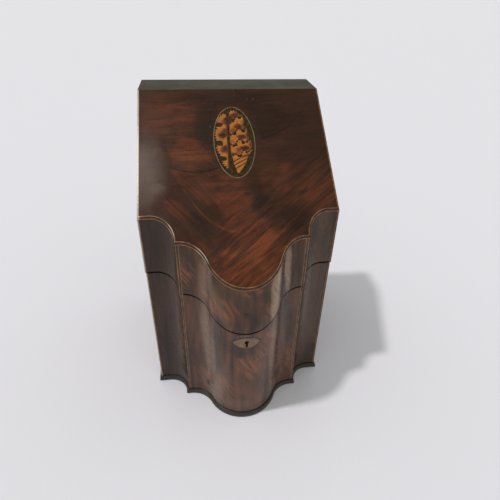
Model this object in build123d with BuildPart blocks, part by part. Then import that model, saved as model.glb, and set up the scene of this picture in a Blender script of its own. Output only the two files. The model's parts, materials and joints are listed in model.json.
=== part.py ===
"""Knife box with a serpentine front and a sloping hinged lid, closed. All sizes are in millimetres.

Frame: +X to the right and +Y to the back as seen from the front, +Z up. The origin is the centre of the
footprint, on the surface that the box stands on. Each separate piece is one STEP file in parts/.
"""

from build123d import *

import os
from math import atan2, cos, degrees, pi, radians, sin, tan

# Case outline, seen from above
CASE_WIDTH = 220.0
CASE_DEPTH = 264.0  # back face to the front of the bow
SIDE_DEPTH = 194.0  # back face to the outer front corners
CORNER_FLAT = 12.0  # from the outer corner to the start of the cove
COVE_RADIUS = 25.5
FRONT_FLAT = 3.5  # from the inner corner to the start of the hollow
HOLLOW_RADIUS = 32.0  # the concave arcs that flow into the bow

# Case outline, seen from the side
CASE_HEIGHT = 361.0
CROWN_DEPTH = 56.0  # the level strip at the top, behind the slope
SLOPE_ANGLE = 35.0
LID_HEIGHT = 58.0  # crown to the lid seam, at the back face
SEAM_ANGLE = 30.0
SEAM_GAP = 0.4
LID_PROUD = 0.8  # the lid stands this far outside the case at the sides and front

# Boards
WALL = 9.0
BACK_WALL = 12.0
SIDE_LAP = 4.5  # what is left of a side board outside the end of the back board
BOTTOM = 9.0
PANEL = 8.0
VENEER = 1.2
GLUE_GAP = 0.1
LOCK_FLAT = 22.0  # thickness of the front at the bow, where its inner face is flat

# Inlay
BEAD = 1.1  # dark corner bead, square
LINE = 0.8  # pale line beside the bead
PATERA_WIDTH = 48.8
PATERA_LENGTH = 98.4
PATERA_DOWN = 76.0  # crown edge to the middle of the oval, along the slope
PATERA_LINE = 0.9
SHELL_DEPTH = 0.6
SHELL_BODY = (13.0, 27.0)  # half axes of the shell's body
SHELL_RISE = 9.0  # middle of the oval to the middle of the body
SHELL_SCALLOPS = 12
SCALLOP_RADIUS = 5.2
SPIRE_WIDTH = 17.0
SPIRE_LENGTH = 24.0
SPIRE_LEAN = 4.0

# Base moulding
MOULD_PROUD = 2.5
MOULD_STEP = 1.3  # how far the upper fillet stands out
MOULD_NOSE = 4.8  # height of the lower part, which stands out further
MOULD_HEIGHT = 7.5

# Hinges
HINGE_LENGTH = 40.0
HINGE_INSET = 30.0  # side of the case to the end of a hinge
HINGE_STANDOFF = 0.3  # back face to knuckle
LEAF_WIDTH = 12.5
LEAF = 1.4
LEAF_GAP = 0.2
KNUCKLE_RADIUS = 2.5
KNUCKLES = 5
KNUCKLE_GAP = 0.3
PIN_RADIUS = 1.2
RUNNING = 0.05
FIT = 0.15  # recess round a let-in metal plate

# Screws
SHANK_RADIUS = 1.0
HEAD_RADIUS = 2.0
SINK_ANGLE = 82.0
SCREW_LENGTH = 5.0
SCREW_FIT = 0.05
HINGE_SCREWS = 3
HINGE_SCREW_PITCH = 13.0
HINGE_SCREW_ROW = 9.6  # pin axis to the row of screws

# Lock, escutcheon and keyhole
KEYHOLE_DROP = 13.9  # seam at the front of the bow to the middle of the keyhole's eye
KEYHOLE_RADIUS = 2.6
KEYHOLE_NECK = 2.6
KEYHOLE_FOOT = 3.8
KEYHOLE_HEIGHT = 10.5
PLATE_WIDTH = 36.5
PLATE_HEIGHT = 20.2
PLATE_DROP = 0.8  # keyhole circle to the middle of the escutcheon
PLATE = 1.2
PLATE_BORDER = 2.3
LOCK_WIDTH = 38.0
LOCK_DEPTH = 10.0
LOCK_BELOW = 13.0  # keyhole circle to the bottom of the lock
LOCK_METAL = 1.2
STRIP_WIDTH = 50.0  # lock's edge strip
STRIP = 1.4
CAP_WIDTH = 48.0
CAP_SCREW_INSET = 3.0
STRIP_SCREW_INSET = 3.6
LOOP_SPREAD = 9.0  # lock middle to each loop
LOOP_WIDTH = 4.2
LOOP_LENGTH = 7.0
LOOP = 2.0
EYE_WIDTH = 2.5
EYE_HEIGHT = 3.0
EYE_DROP = 4.6  # seam to the middle of the eye
LOOP_ROOM = 0.5
BOLT = 2.0
BOLT_HEIGHT = 11.0
BOLT_DROP = 4.2  # eye to the top edge of the bolt plate
BOLT_TRAVEL = 5.0
FINGER_RADIUS = 0.9
FINGER_ARM = 1.8
FINGER_REACH = 4.4
STUD_RADIUS = 1.5
STUD_ROOM = 0.3
TALON_WIDTH = 6.0
TALON_DEPTH = 3.0
DRILL_PIN_RADIUS = 1.2
SPRING = 0.5
SPRING_LENGTH = 10.0
SPRING_BOW = 1.2
LINK_WIDTH = 40.0
LINK_SCREW_INSET = 4.0
PULL_HOLE_RISE = 29.8  # seam at the front of the bow to the hole left by a lost pull
PULL_HOLE_RADIUS = 1.3
PULL_HOLE_DEPTH = 6.0

# Rack for the cutlery
ROWS = 4
COLUMNS = 6
SLOT_WIDTH = 10.0
SLOT_LENGTH = 26.0
TIER = 5.0
RISER = 5.0
RACK_GAP = 0.2
RACK_DROP = 22.0  # seam to the top of a tier, at its middle
BEARER_WIDTH = 6.0
BEARER_HEIGHT = 7.0
BOW_WELL = (40.0, 26.0)
SIDE_WELL = (24.0, 16.0)
BOW_WELL_INSET = 12.7  # flat inside the bow to the front of its well
SIDE_WELL_INSET = 5.5  # inner corner of the wall to the side of a side well
SIDE_WELL_BACK = 7.5  # last riser to the back of a side well

# Places that follow from the sizes
BAND = BEAD + LINE
KNUCKLE_PROUD = HINGE_STANDOFF + 2 * KNUCKLE_RADIUS
BACK_Y = (CASE_DEPTH + MOULD_PROUD - KNUCKLE_PROUD) / 2
ROOM_BACK = BACK_Y - BACK_WALL
CORNER_X = CASE_WIDTH / 2
ROOM_X = CORNER_X - WALL
BACK_BOARD_X = CORNER_X - SIDE_LAP
CORNER_Y = BACK_Y - SIDE_DEPTH
INNER_Y = CORNER_Y - COVE_RADIUS  # the inner corner, where the cove ends and the serpentine starts
FRONT_Y = BACK_Y - CASE_DEPTH
COVE_X = CORNER_X - CORNER_FLAT
INNER_X = COVE_X - COVE_RADIUS
HOLLOW_X = INNER_X - FRONT_FLAT
HOLLOW_Y = INNER_Y - HOLLOW_RADIUS
BOW_RADIUS = (HOLLOW_X**2 + (HOLLOW_Y - FRONT_Y) ** 2 - HOLLOW_RADIUS**2) / (2 * (INNER_Y - FRONT_Y))
BOW_Y = FRONT_Y + BOW_RADIUS
BOW_TURN = degrees(atan2(HOLLOW_X, BOW_Y - HOLLOW_Y))  # both arcs turn through this angle
CROWN_Y = BACK_Y - CROWN_DEPTH
FLAT_Y = FRONT_Y + LOCK_FLAT
SEAM_RISE = tan(radians(SEAM_ANGLE))
HINGE_X = CORNER_X - HINGE_INSET - HINGE_LENGTH / 2
HINGE_Y = BACK_Y + HINGE_STANDOFF + KNUCKLE_RADIUS
HEAD_DEPTH = (HEAD_RADIUS - SHANK_RADIUS) / tan(radians(SINK_ANGLE / 2))
BEYOND = 20.0  # how far cutting shapes run past what they cut
SIDES = (-1, 1)  # left, right


def seam_z(y):
    """Height of the middle of the seam at y."""
    return CASE_HEIGHT - LID_HEIGHT + SEAM_RISE * (y - BACK_Y)


def slope_z(y, depth):
    """Height at y of the plane that lies depth under the slope."""
    drop = tan(radians(SLOPE_ANGLE)) * (CROWN_Y - y)
    return CASE_HEIGHT - depth / cos(radians(SLOPE_ANGLE)) - drop


def crown_edge(depth):
    """The point of the side view where the layers depth under the crown and the slope meet."""
    return (CROWN_Y + depth * tan(radians(SLOPE_ANGLE / 2)), CASE_HEIGHT - depth)


HINGE_Z = seam_z(HINGE_Y)
KEYHOLE_Z = seam_z(FRONT_Y) - KEYHOLE_DROP
PULL_HOLE_Z = seam_z(FRONT_Y) + PULL_HOLE_RISE
SEAM_UP = (0, -sin(radians(SEAM_ANGLE)), cos(radians(SEAM_ANGLE)))
SEAM_DOWN = (0, sin(radians(SEAM_ANGLE)), -cos(radians(SEAM_ANGLE)))
SLOPE_UP = (0, -sin(radians(SLOPE_ANGLE)), cos(radians(SLOPE_ANGLE)))


def seam_plane(x, y, normal=SEAM_UP, lift=0.0):
    """A plane along the seam at x and y, lifted along its normal."""
    return Plane(origin=(x, y, seam_z(y)), x_dir=(1, 0, 0), z_dir=normal).offset(lift)


# ---------------------------------------------------------------- plan views


def corner_cut(grow):
    """Plan of the space outside the front corners, down to the coves, with the case moved out by grow."""
    cove = COVE_RADIUS - grow
    step = CORNER_Y - grow
    ahead = FRONT_Y - BEYOND
    aside = CORNER_X + BEYOND
    with BuildSketch() as plan:
        with BuildLine():
            Polyline((COVE_X - cove, INNER_Y), (COVE_X - cove, ahead), (aside, ahead))
            Polyline((aside, ahead), (aside, step), (COVE_X, step))
            CenterArc((COVE_X, INNER_Y), cove, 90, 90)
        make_face()
        mirror(about=Plane.YZ)
    return plan.sketch


def outline(grow, back):
    """Plan of the case with its sides and front moved out by grow, closed by a straight back."""
    side = CORNER_X + grow
    front = INNER_Y - grow
    with BuildSketch() as plan:
        with BuildLine():
            Polyline((0, back), (side, back), (side, front), (HOLLOW_X, front))
            CenterArc((HOLLOW_X, HOLLOW_Y), HOLLOW_RADIUS - grow, 90, BOW_TURN)
            CenterArc((0, BOW_Y), BOW_RADIUS + grow, -90, BOW_TURN)
            mirror(about=Plane.YZ)
        make_face()
        add(corner_cut(grow), mode=Mode.SUBTRACT)
    return plan.sketch


def room(gap=0.0):
    """Plan of the space inside the walls, gap clear of them."""
    with BuildSketch() as plan:
        add(outline(-WALL - gap, ROOM_BACK - gap))
        with Locations((0, FLAT_Y + gap)):
            Rectangle(CASE_WIDTH, CASE_DEPTH, align=(Align.CENTER, Align.MAX), mode=Mode.SUBTRACT)
    return plan.sketch


def notches(grow, size):
    """Squares at the outer and inner corners of the outline, size inside it and a little outside."""
    with BuildSketch() as plan:
        for x, y in ((CORNER_X, CORNER_Y), (INNER_X, INNER_Y)):
            with Locations((x + grow - size, y - grow + size)):
                Rectangle(size + WALL / 2, size + WALL / 2, align=(Align.MIN, Align.MAX))
        mirror(about=Plane.YZ)
    return plan.sketch


def back_plan():
    """Plan of the back board, which runs into rebates in the sides."""
    with BuildSketch() as plan:
        with Locations((0, BACK_Y)):
            Rectangle(2 * BACK_BOARD_X, BACK_WALL, align=(Align.CENTER, Align.MAX))
    return plan.sketch


def along_mitre(x, y, distance):
    """The point that lies inward (or outward, if negative) of a corner along its mitre."""
    return (x - distance, y + distance)


def side_zone():
    """The part of the plan that belongs to the right-hand side."""
    return [
        along_mitre(CORNER_X, CORNER_Y, -BEYOND),
        along_mitre(CORNER_X, CORNER_Y, 1.5 * WALL),
        (CORNER_X - 1.5 * WALL, BACK_Y + BEYOND),
        (CORNER_X + BEYOND, BACK_Y + BEYOND),
    ]


def cove_zone():
    """The part of the plan between the mitres of the right-hand cove."""
    return [
        along_mitre(CORNER_X, CORNER_Y, -BEYOND),
        along_mitre(CORNER_X, CORNER_Y, COVE_RADIUS + WALL),
        along_mitre(INNER_X, INNER_Y, COVE_RADIUS + WALL),
        along_mitre(INNER_X, INNER_Y, -BEYOND),
    ]


def front_zone():
    """The part of the plan between the mitres of the serpentine front."""
    right = [along_mitre(INNER_X, INNER_Y, -CASE_DEPTH), along_mitre(INNER_X, INNER_Y, 2 * WALL)]
    return right + [(-x, y) for x, y in reversed(right)]


def wall_plan(grow, zone):
    """Plan of one wall board: the zone's share of the wall, less the back board and the corner inlay."""
    with BuildSketch() as plan:
        add(outline(grow, BACK_Y))
        add(room(), mode=Mode.SUBTRACT)
        Polygon(*zone, align=None, mode=Mode.INTERSECT)
        add(back_plan(), mode=Mode.SUBTRACT)
        add(notches(grow, BAND), mode=Mode.SUBTRACT)
    return plan.sketch


def corner_inlay_plan(grow, outer, inner):
    """Plan of the inlay in the upright corners, from outer to inner away from each corner."""
    with BuildSketch() as plan:
        add(outline(grow, BACK_Y))
        add(notches(grow, inner), mode=Mode.INTERSECT)
        if outer > 0:
            add(notches(grow, outer), mode=Mode.SUBTRACT)
    return plan.sketch


# ---------------------------------------------------------------- side views


def under_seam(front, back, low):
    """Side view of the space under the case's edge, between two depths and above low."""
    edge = [(y, seam_z(y) - SEAM_GAP / 2) for y in (back, front)]
    with BuildSketch(Plane.YZ) as view:
        Polygon((front, low), (back, low), *edge, align=None)
    return view.sketch


def below_seam():
    """Side view of the whole case."""
    return under_seam(FRONT_Y - BEYOND, BACK_Y + BEYOND, 0)


def above_seam(depth):
    """Side view of everything between the seam and the layer depth under the lid's top."""
    low = SEAM_GAP / 2
    with BuildSketch(Plane.YZ) as view:
        front, back = FRONT_Y - BEYOND, BACK_Y + BEYOND
        Polygon(
            (front, seam_z(front) + low),
            (back, seam_z(back) + low),
            (back, CASE_HEIGHT - depth),
            crown_edge(depth),
            (front, slope_z(front, depth)),
            align=None,
        )
    return view.sketch


def crown_layer(top, bottom):
    """Side view of the level layer between two depths, mitred where it meets the slope."""
    with BuildSketch(Plane.YZ) as view:
        back = BACK_Y + BEYOND
        Polygon(
            (back, CASE_HEIGHT - top),
            crown_edge(top),
            crown_edge(bottom),
            (back, CASE_HEIGHT - bottom),
            align=None,
        )
    return view.sketch


def slope_layer(top, bottom):
    """Side view of the sloping layer between two depths, mitred where it meets the crown."""
    with BuildSketch(Plane.YZ) as view:
        front = FRONT_Y - BEYOND
        Polygon(
            crown_edge(top),
            (front, slope_z(front, top)),
            (front, slope_z(front, bottom)),
            crown_edge(bottom),
            align=None,
        )
    return view.sketch


def board(plan, view):
    """The solid that has this plan and this side view."""
    with BuildPart() as piece:
        extrude(plan, amount=CASE_HEIGHT + BEYOND)
        extrude(view, amount=CASE_WIDTH, both=True, mode=Mode.INTERSECT)
    return piece.part


# ---------------------------------------------------------------- output

os.makedirs("parts", exist_ok=True)


def keep(part, name):
    """Labels a finished piece and writes it."""
    part.label = name
    export_step(part, f"parts/{name}.step")


def keep_pair(part, name):
    """Writes a piece of the right-hand side and its mirror image."""
    keep(part, f"{name}_right")
    with BuildPart() as left:
        mirror(part, about=Plane.YZ)
    keep(left.part, f"{name}_left")


# ---------------------------------------------------------------- screws


def screws(planes):
    """Countersunk wood screws with their heads level with each plane, pointing against its normal."""
    shank = SCREW_LENGTH - HEAD_DEPTH
    with BuildPart(*planes) as group:
        with Locations((0, 0, -HEAD_DEPTH)):
            Cone(SHANK_RADIUS, HEAD_RADIUS, HEAD_DEPTH, align=(Align.CENTER, Align.CENTER, Align.MIN))
            Cylinder(SHANK_RADIUS, shank, align=(Align.CENTER, Align.CENTER, Align.MAX))
    return group.part


def pilot_holes(planes):
    """Cuts the holes for the screws' shanks in the wood of the part being built."""
    with Locations(*planes):
        Hole(SHANK_RADIUS + SCREW_FIT, SCREW_LENGTH + SCREW_FIT)


def sunk_holes(planes, thickness):
    """Cuts countersunk holes in the plate being built."""
    with Locations(*planes):
        CounterSinkHole(SHANK_RADIUS + SCREW_FIT, HEAD_RADIUS + SCREW_FIT, 2 * thickness, SINK_ANGLE)


# ---------------------------------------------------------------- hinges


def hinge_plane(side, normal, lift):
    """The face of one leaf, lift away from the seam, at the hinge's middle on the pin's axis."""
    return seam_plane(side * HINGE_X, HINGE_Y, normal, lift)


def hinge_screw_planes(normal):
    """The heads of the screws of both hinges that hold the leaves facing against normal."""
    y = HINGE_Y - HINGE_SCREW_ROW * cos(radians(SEAM_ANGLE))
    first = -HINGE_SCREW_PITCH * (HINGE_SCREWS - 1) / 2
    return [
        seam_plane(side * HINGE_X + first + n * HINGE_SCREW_PITCH, y, normal, -LEAF_GAP / 2)
        for side in SIDES
        for n in range(HINGE_SCREWS)
    ]


def leaf_mortises(normal):
    """Cuts the recesses for the leaves of both hinges in the board being built."""
    for side in SIDES:
        with BuildSketch(hinge_plane(side, normal, -LEAF_GAP / 2 - LEAF)) as mortise:
            Rectangle(HINGE_LENGTH + 2 * FIT, 2 * (LEAF_WIDTH + FIT))
        extrude(mortise.sketch, amount=LEAF + BEYOND, mode=Mode.SUBTRACT)


def pin_planes(side):
    """A plane across the pin at the middle of each knuckle of one hinge."""
    pitch = HINGE_LENGTH / KNUCKLES
    first = side * HINGE_X - HINGE_LENGTH / 2 + pitch / 2
    middles = [(first + n * pitch, HINGE_Y, HINGE_Z) for n in range(KNUCKLES)]
    return [Plane(origin=middle, x_dir=(0, 1, 0), z_dir=(1, 0, 0)) for middle in middles]


def hinge_leaf(side, normal, first):
    """One leaf with every second knuckle from the first, bored for the pin."""
    pitch = HINGE_LENGTH / KNUCKLES
    own = pin_planes(side)[first::2]
    other = pin_planes(side)[1 - first :: 2]
    inward = Align.MAX if normal == SEAM_UP else Align.MIN
    with BuildPart() as leaf:
        with BuildSketch(hinge_plane(side, normal, -LEAF_GAP / 2)):
            Rectangle(HINGE_LENGTH, LEAF_WIDTH, align=(Align.CENTER, inward))
        extrude(amount=-LEAF)
        with Locations(*other):
            Cylinder(KNUCKLE_RADIUS + HINGE_STANDOFF, pitch + KNUCKLE_GAP, mode=Mode.SUBTRACT)
        with Locations(*own):
            Cylinder(KNUCKLE_RADIUS, pitch - KNUCKLE_GAP)
            Cylinder(PIN_RADIUS + RUNNING, pitch, mode=Mode.SUBTRACT)
        sunk_holes([plane for plane in hinge_screw_planes(normal) if plane.origin.X * side > 0], LEAF)
    return leaf.part


def make_hinges():
    """Two butt hinges let into the seam at the back, with their pins and screws."""
    for side, hand in ((-1, "left"), (1, "right")):
        keep(hinge_leaf(side, SEAM_UP, 0), f"hinge_case_leaf_{hand}")
        keep(hinge_leaf(side, SEAM_DOWN, 1), f"hinge_lid_leaf_{hand}")
        with BuildPart() as pin:
            with Locations(pin_planes(side)[KNUCKLES // 2]):
                Cylinder(PIN_RADIUS, HINGE_LENGTH)
        keep(pin.part, f"hinge_pin_{hand}")
    keep(screws(hinge_screw_planes(SEAM_UP)), "hinge_screws_case")
    keep(screws(hinge_screw_planes(SEAM_DOWN)), "hinge_screws_lid")


# ---------------------------------------------------------------- keyhole and escutcheon


def keyhole_shape():
    """A round eye over a narrow neck and a wider foot, seen from the front."""
    foot = KEYHOLE_RADIUS - KEYHOLE_HEIGHT
    neck, half_foot = KEYHOLE_NECK / 2, KEYHOLE_FOOT / 2
    with BuildSketch(Plane.XZ) as shape:
        with Locations((0, KEYHOLE_Z)):
            Circle(KEYHOLE_RADIUS)
            Polygon((-half_foot, foot), (half_foot, foot), (neck, foot / 2), (-neck, foot / 2), align=None)
            Polygon((-neck, foot / 2), (neck, foot / 2), (neck, 0), (-neck, 0), align=None)
    return shape.sketch


def plate_shape():
    """The pointed oval of the escutcheon, seen from the front."""
    middle = KEYHOLE_Z - PLATE_DROP
    half = PLATE_WIDTH / 2
    with BuildSketch(Plane.XZ) as shape:
        with BuildLine():
            ThreePointArc((-half, middle), (0, middle + PLATE_HEIGHT / 2), (half, middle))
            ThreePointArc((half, middle), (0, middle - PLATE_HEIGHT / 2), (-half, middle))
        make_face()
    return shape.sketch


def let_in(shape, depth, outside=0.0):
    """A front view turned into a plate in the case's face, from depth inside it to outside beyond it."""
    with BuildSketch() as plan:
        add(outline(outside, BACK_Y))
        add(outline(-depth, BACK_Y), mode=Mode.SUBTRACT)
    with BuildPart() as plate:
        extrude(shape, amount=CASE_DEPTH)
        extrude(plan.sketch, amount=CASE_HEIGHT, mode=Mode.INTERSECT)
    return plate.part


def make_escutcheon():
    """The escutcheon and its border, which follow the bow."""
    with BuildSketch(Plane.XZ) as inner:
        offset(plate_shape(), amount=-PLATE_BORDER)
    with BuildPart() as plate:
        add(let_in(inner.sketch, PLATE))
        extrude(keyhole_shape(), amount=CASE_DEPTH, mode=Mode.SUBTRACT)
    keep(plate.part, "escutcheon")
    with BuildPart() as border:
        add(let_in(plate_shape(), PLATE))
        extrude(inner.sketch, amount=CASE_DEPTH, mode=Mode.SUBTRACT)
    keep(border.part, "escutcheon_border")


# ---------------------------------------------------------------- lock

LOCK_FRONT = FLAT_Y - LOCK_DEPTH
LOCK_BACK = FLAT_Y - LOCK_METAL
LOCK_MIDDLE = FLAT_Y - LOCK_DEPTH / 2
LOCK_BOTTOM = KEYHOLE_Z - LOCK_BELOW
LOCK_EDGE = -SEAM_GAP / 2 * cos(radians(SEAM_ANGLE))  # the wood's edge, measured square to the seam
CAP_HEIGHT = seam_z(FLAT_Y) - SEAM_GAP / 2 - 2 * STRIP - LOCK_BOTTOM
LOOP_Y = LOCK_FRONT + LOCK_METAL + LOOP_ROOM + LOOP_WIDTH / 2
EYE_Y = LOOP_Y + EYE_DROP * sin(radians(SEAM_ANGLE))
EYE_Z = seam_z(LOOP_Y) - EYE_DROP * cos(radians(SEAM_ANGLE))
BOLT_TOP = EYE_Z - BOLT_DROP
STUD_Z = BOLT_TOP - BOLT_HEIGHT / 3
ROOT_TO_LOOP = LOOP + FINGER_REACH  # finger's root to the middle of its loop
STRIP_SCREW_X = STRIP_WIDTH / 2 - STRIP_SCREW_INSET
LINK_SCREW_X = LINK_WIDTH / 2 - LINK_SCREW_INSET
STRIP_SCREWS = [seam_plane(side * STRIP_SCREW_X, LOCK_MIDDLE, SEAM_UP, LOCK_EDGE) for side in SIDES]
LINK_SCREWS = [seam_plane(side * LINK_SCREW_X, LOCK_MIDDLE, SEAM_DOWN, LOCK_EDGE) for side in SIDES]
CAP_SCREWS = [
    Plane(
        origin=(side * (CAP_WIDTH / 2 - CAP_SCREW_INSET), FLAT_Y, LOCK_BOTTOM + CAP_HEIGHT / 2),
        x_dir=(1, 0, 0),
        z_dir=(0, 1, 0),
    )
    for side in SIDES
]


def edge_strip(width, normal, grow=0.0):
    """A plate let into the seam at the lock, level with the wood's edge."""
    with BuildPart() as strip:
        with BuildSketch(seam_plane(0, LOCK_MIDDLE, normal, LOCK_EDGE)):
            Rectangle(width + 2 * grow, LOCK_DEPTH / cos(radians(SEAM_ANGLE)) + 2 * grow)
        extrude(amount=-STRIP)
    return strip.part


def cap_sheet(grow=0.0):
    """The blank of the plate that closes the lock, let into the inner face of the front."""
    with BuildPart() as sheet:
        with BuildSketch(Plane.XZ.offset(-FLAT_Y)):
            with Locations((0, LOCK_BOTTOM - grow)):
                Rectangle(CAP_WIDTH + 2 * grow, CAP_HEIGHT + 2 * grow, align=(Align.CENTER, Align.MIN))
        extrude(amount=LOCK_METAL)
    return sheet.part


def make_lock_case():
    """The folded case with its edge strip, and the stud that guides the bolt."""
    with BuildPart() as case:
        extrude(under_seam(LOCK_FRONT, LOCK_BACK, LOCK_BOTTOM), amount=LOCK_WIDTH / 2, both=True)
        extrude(
            under_seam(LOCK_FRONT + LOCK_METAL, LOCK_BACK, LOCK_BOTTOM + LOCK_METAL),
            amount=LOCK_WIDTH / 2 - LOCK_METAL,
            both=True,
            mode=Mode.SUBTRACT,
        )
        add(edge_strip(STRIP_WIDTH, SEAM_UP))
        with BuildSketch(seam_plane(0, LOOP_Y)):
            with GridLocations(2 * LOOP_SPREAD, 0, 2, 1):
                Rectangle(LOOP + 2 * LOOP_ROOM, LOOP_WIDTH + 2 * LOOP_ROOM)
        extrude(amount=2 * STRIP, both=True, mode=Mode.SUBTRACT)
        extrude(keyhole_shape(), amount=CASE_DEPTH, mode=Mode.SUBTRACT)
        sunk_holes(STRIP_SCREWS, STRIP)
        with BuildSketch(Plane.XZ.offset(-LOCK_FRONT - LOCK_METAL / 2)):
            with Locations((-LOOP_SPREAD, STUD_Z)):
                Circle(STUD_RADIUS)
        extrude(amount=-(EYE_Y + BOLT - LOCK_FRONT - LOCK_METAL / 2))
    keep(case.part, "lock_case")


def make_bolt():
    """The bolt drawn back: a plate with two arms, whose fingers slide sideways into the lid's loops."""
    roots = [side * LOOP_SPREAD - ROOT_TO_LOOP for side in SIDES]
    left = roots[0] - FINGER_ARM
    with BuildPart() as bolt:
        with BuildSketch(Plane.XZ.offset(-EYE_Y - BOLT / 2)):
            with Locations((left, BOLT_TOP)):
                Rectangle(LOOP_SPREAD - left, BOLT_HEIGHT, align=(Align.MIN, Align.MAX))
            with Locations(*[(root, BOLT_TOP - BOLT_HEIGHT / 2) for root in roots]):
                arm = EYE_Z + FINGER_RADIUS - BOLT_TOP + BOLT_HEIGHT / 2
                Rectangle(FINGER_ARM, arm, align=(Align.MAX, Align.MIN))
            with Locations((-LOOP_SPREAD - BOLT_TRAVEL / 2, STUD_Z)):
                slot = 2 * (STUD_RADIUS + STUD_ROOM)
                SlotOverall(slot + BOLT_TRAVEL, slot, mode=Mode.SUBTRACT)
            with Locations((0, BOLT_TOP - BOLT_HEIGHT)):
                Rectangle(TALON_WIDTH, TALON_DEPTH, align=(Align.CENTER, Align.MIN), mode=Mode.SUBTRACT)
        extrude(amount=BOLT)
        for root in roots:
            with BuildSketch(Plane.YZ.offset(root - FINGER_ARM / 2)):
                with Locations((EYE_Y, EYE_Z)):
                    Circle(FINGER_RADIUS)
            extrude(amount=FINGER_ARM / 2 + FINGER_REACH)
    keep(bolt.part, "lock_bolt")


def make_lock_works():
    """The cap, the pin that the key's barrel fits, and the bowed spring under the bolt."""
    with BuildPart() as cap:
        add(cap_sheet())
        sunk_holes(CAP_SCREWS, LOCK_METAL)
        with Locations(Plane(origin=(0, FLAT_Y, KEYHOLE_Z), z_dir=(0, 1, 0))):
            Hole(DRILL_PIN_RADIUS + SCREW_FIT, 2 * LOCK_METAL)
    keep(cap.part, "lock_cap")

    with BuildPart() as pin:
        with BuildSketch(Plane.XZ.offset(-FLAT_Y)):
            with Locations((0, KEYHOLE_Z)):
                Circle(DRILL_PIN_RADIUS)
        extrude(amount=LOCK_DEPTH - LOCK_METAL)
    keep(pin.part, "lock_drill_pin")

    wall = LOCK_WIDTH / 2 - LOCK_METAL
    tip = wall - SPRING_LENGTH
    middle = wall - SPRING_LENGTH / 2
    top = BOLT_TOP - BOLT_HEIGHT - STUD_ROOM
    ends = top - SPRING_BOW
    with BuildPart() as spring:
        with BuildSketch(Plane.XZ.offset(-EYE_Y - BOLT / 2)):
            with BuildLine():
                upper = ThreePointArc((wall, ends), (middle, top), (tip, ends))
                lower = ThreePointArc((tip, ends - SPRING), (middle, top - SPRING), (wall, ends - SPRING))
                Line(upper @ 1, lower @ 0)
                Line(lower @ 1, upper @ 0)
            make_face()
            with Locations((wall, ends)):
                Rectangle(SPRING, SPRING_LENGTH / 2, align=(Align.MAX, Align.MAX))
        extrude(amount=BOLT)
    keep(spring.part, "lock_spring")
    keep(screws(STRIP_SCREWS + CAP_SCREWS), "lock_screws")


def make_link():
    """The plate in the lid with the two loops that the bolt catches, and its screws."""
    turned = cos(radians(SEAM_ANGLE)), sin(radians(SEAM_ANGLE))
    with BuildPart() as link:
        add(edge_strip(LINK_WIDTH, SEAM_DOWN))
        for side in SIDES:
            origin = (side * LOOP_SPREAD - LOOP / 2, LOOP_Y, seam_z(LOOP_Y))
            with BuildSketch(Plane(origin=origin, x_dir=(0, *turned), z_dir=(1, 0, 0))):
                with Locations((0, LOOP_WIDTH / 2 - LOOP_LENGTH)):
                    Circle(LOOP_WIDTH / 2)
                    straight = LOOP_LENGTH - LOOP_WIDTH / 2 + STRIP / 2
                    Rectangle(LOOP_WIDTH, straight, align=(Align.CENTER, Align.MIN))
                with Locations((0, -EYE_DROP)):
                    SlotOverall(EYE_HEIGHT, EYE_WIDTH, rotation=90, mode=Mode.SUBTRACT)
            extrude(amount=LOOP)
        sunk_holes(LINK_SCREWS, STRIP)
    keep(link.part, "link_plate")
    keep(screws(LINK_SCREWS), "link_screws")


# ---------------------------------------------------------------- case


def make_case_walls():
    """Back, sides, coves and front of the case, mitred at the corners, and the bottom let in between them."""
    keep_pair(board(wall_plan(0, side_zone()), below_seam()), "case_side")
    keep_pair(board(wall_plan(0, cove_zone()), below_seam()), "case_cove")

    with BuildPart() as back:
        add(board(back_plan(), below_seam()))
        leaf_mortises(SEAM_UP)
        pilot_holes(hinge_screw_planes(SEAM_UP))
    keep(back.part, "case_back")

    with BuildPart() as front:
        add(board(wall_plan(0, front_zone()), below_seam()))
        extrude(
            under_seam(LOCK_FRONT - FIT, FLAT_Y, LOCK_BOTTOM - FIT),
            amount=LOCK_WIDTH / 2 + FIT,
            both=True,
            mode=Mode.SUBTRACT,
        )
        add(edge_strip(STRIP_WIDTH, SEAM_UP, FIT), mode=Mode.SUBTRACT)
        add(cap_sheet(FIT), mode=Mode.SUBTRACT)
        add(let_in(plate_shape(), PLATE, PLATE), mode=Mode.SUBTRACT)
        extrude(keyhole_shape(), amount=CASE_DEPTH, mode=Mode.SUBTRACT)
        pilot_holes(STRIP_SCREWS + CAP_SCREWS)
    keep(front.part, "case_front")

    with BuildPart() as bottom:
        extrude(room(GLUE_GAP), amount=BOTTOM)
    keep(bottom.part, "case_bottom")

    keep(board(corner_inlay_plan(0, 0, BEAD), below_seam()), "case_corner_beads")
    keep(board(corner_inlay_plan(0, BEAD, BAND), below_seam()), "case_corner_lines")


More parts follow.
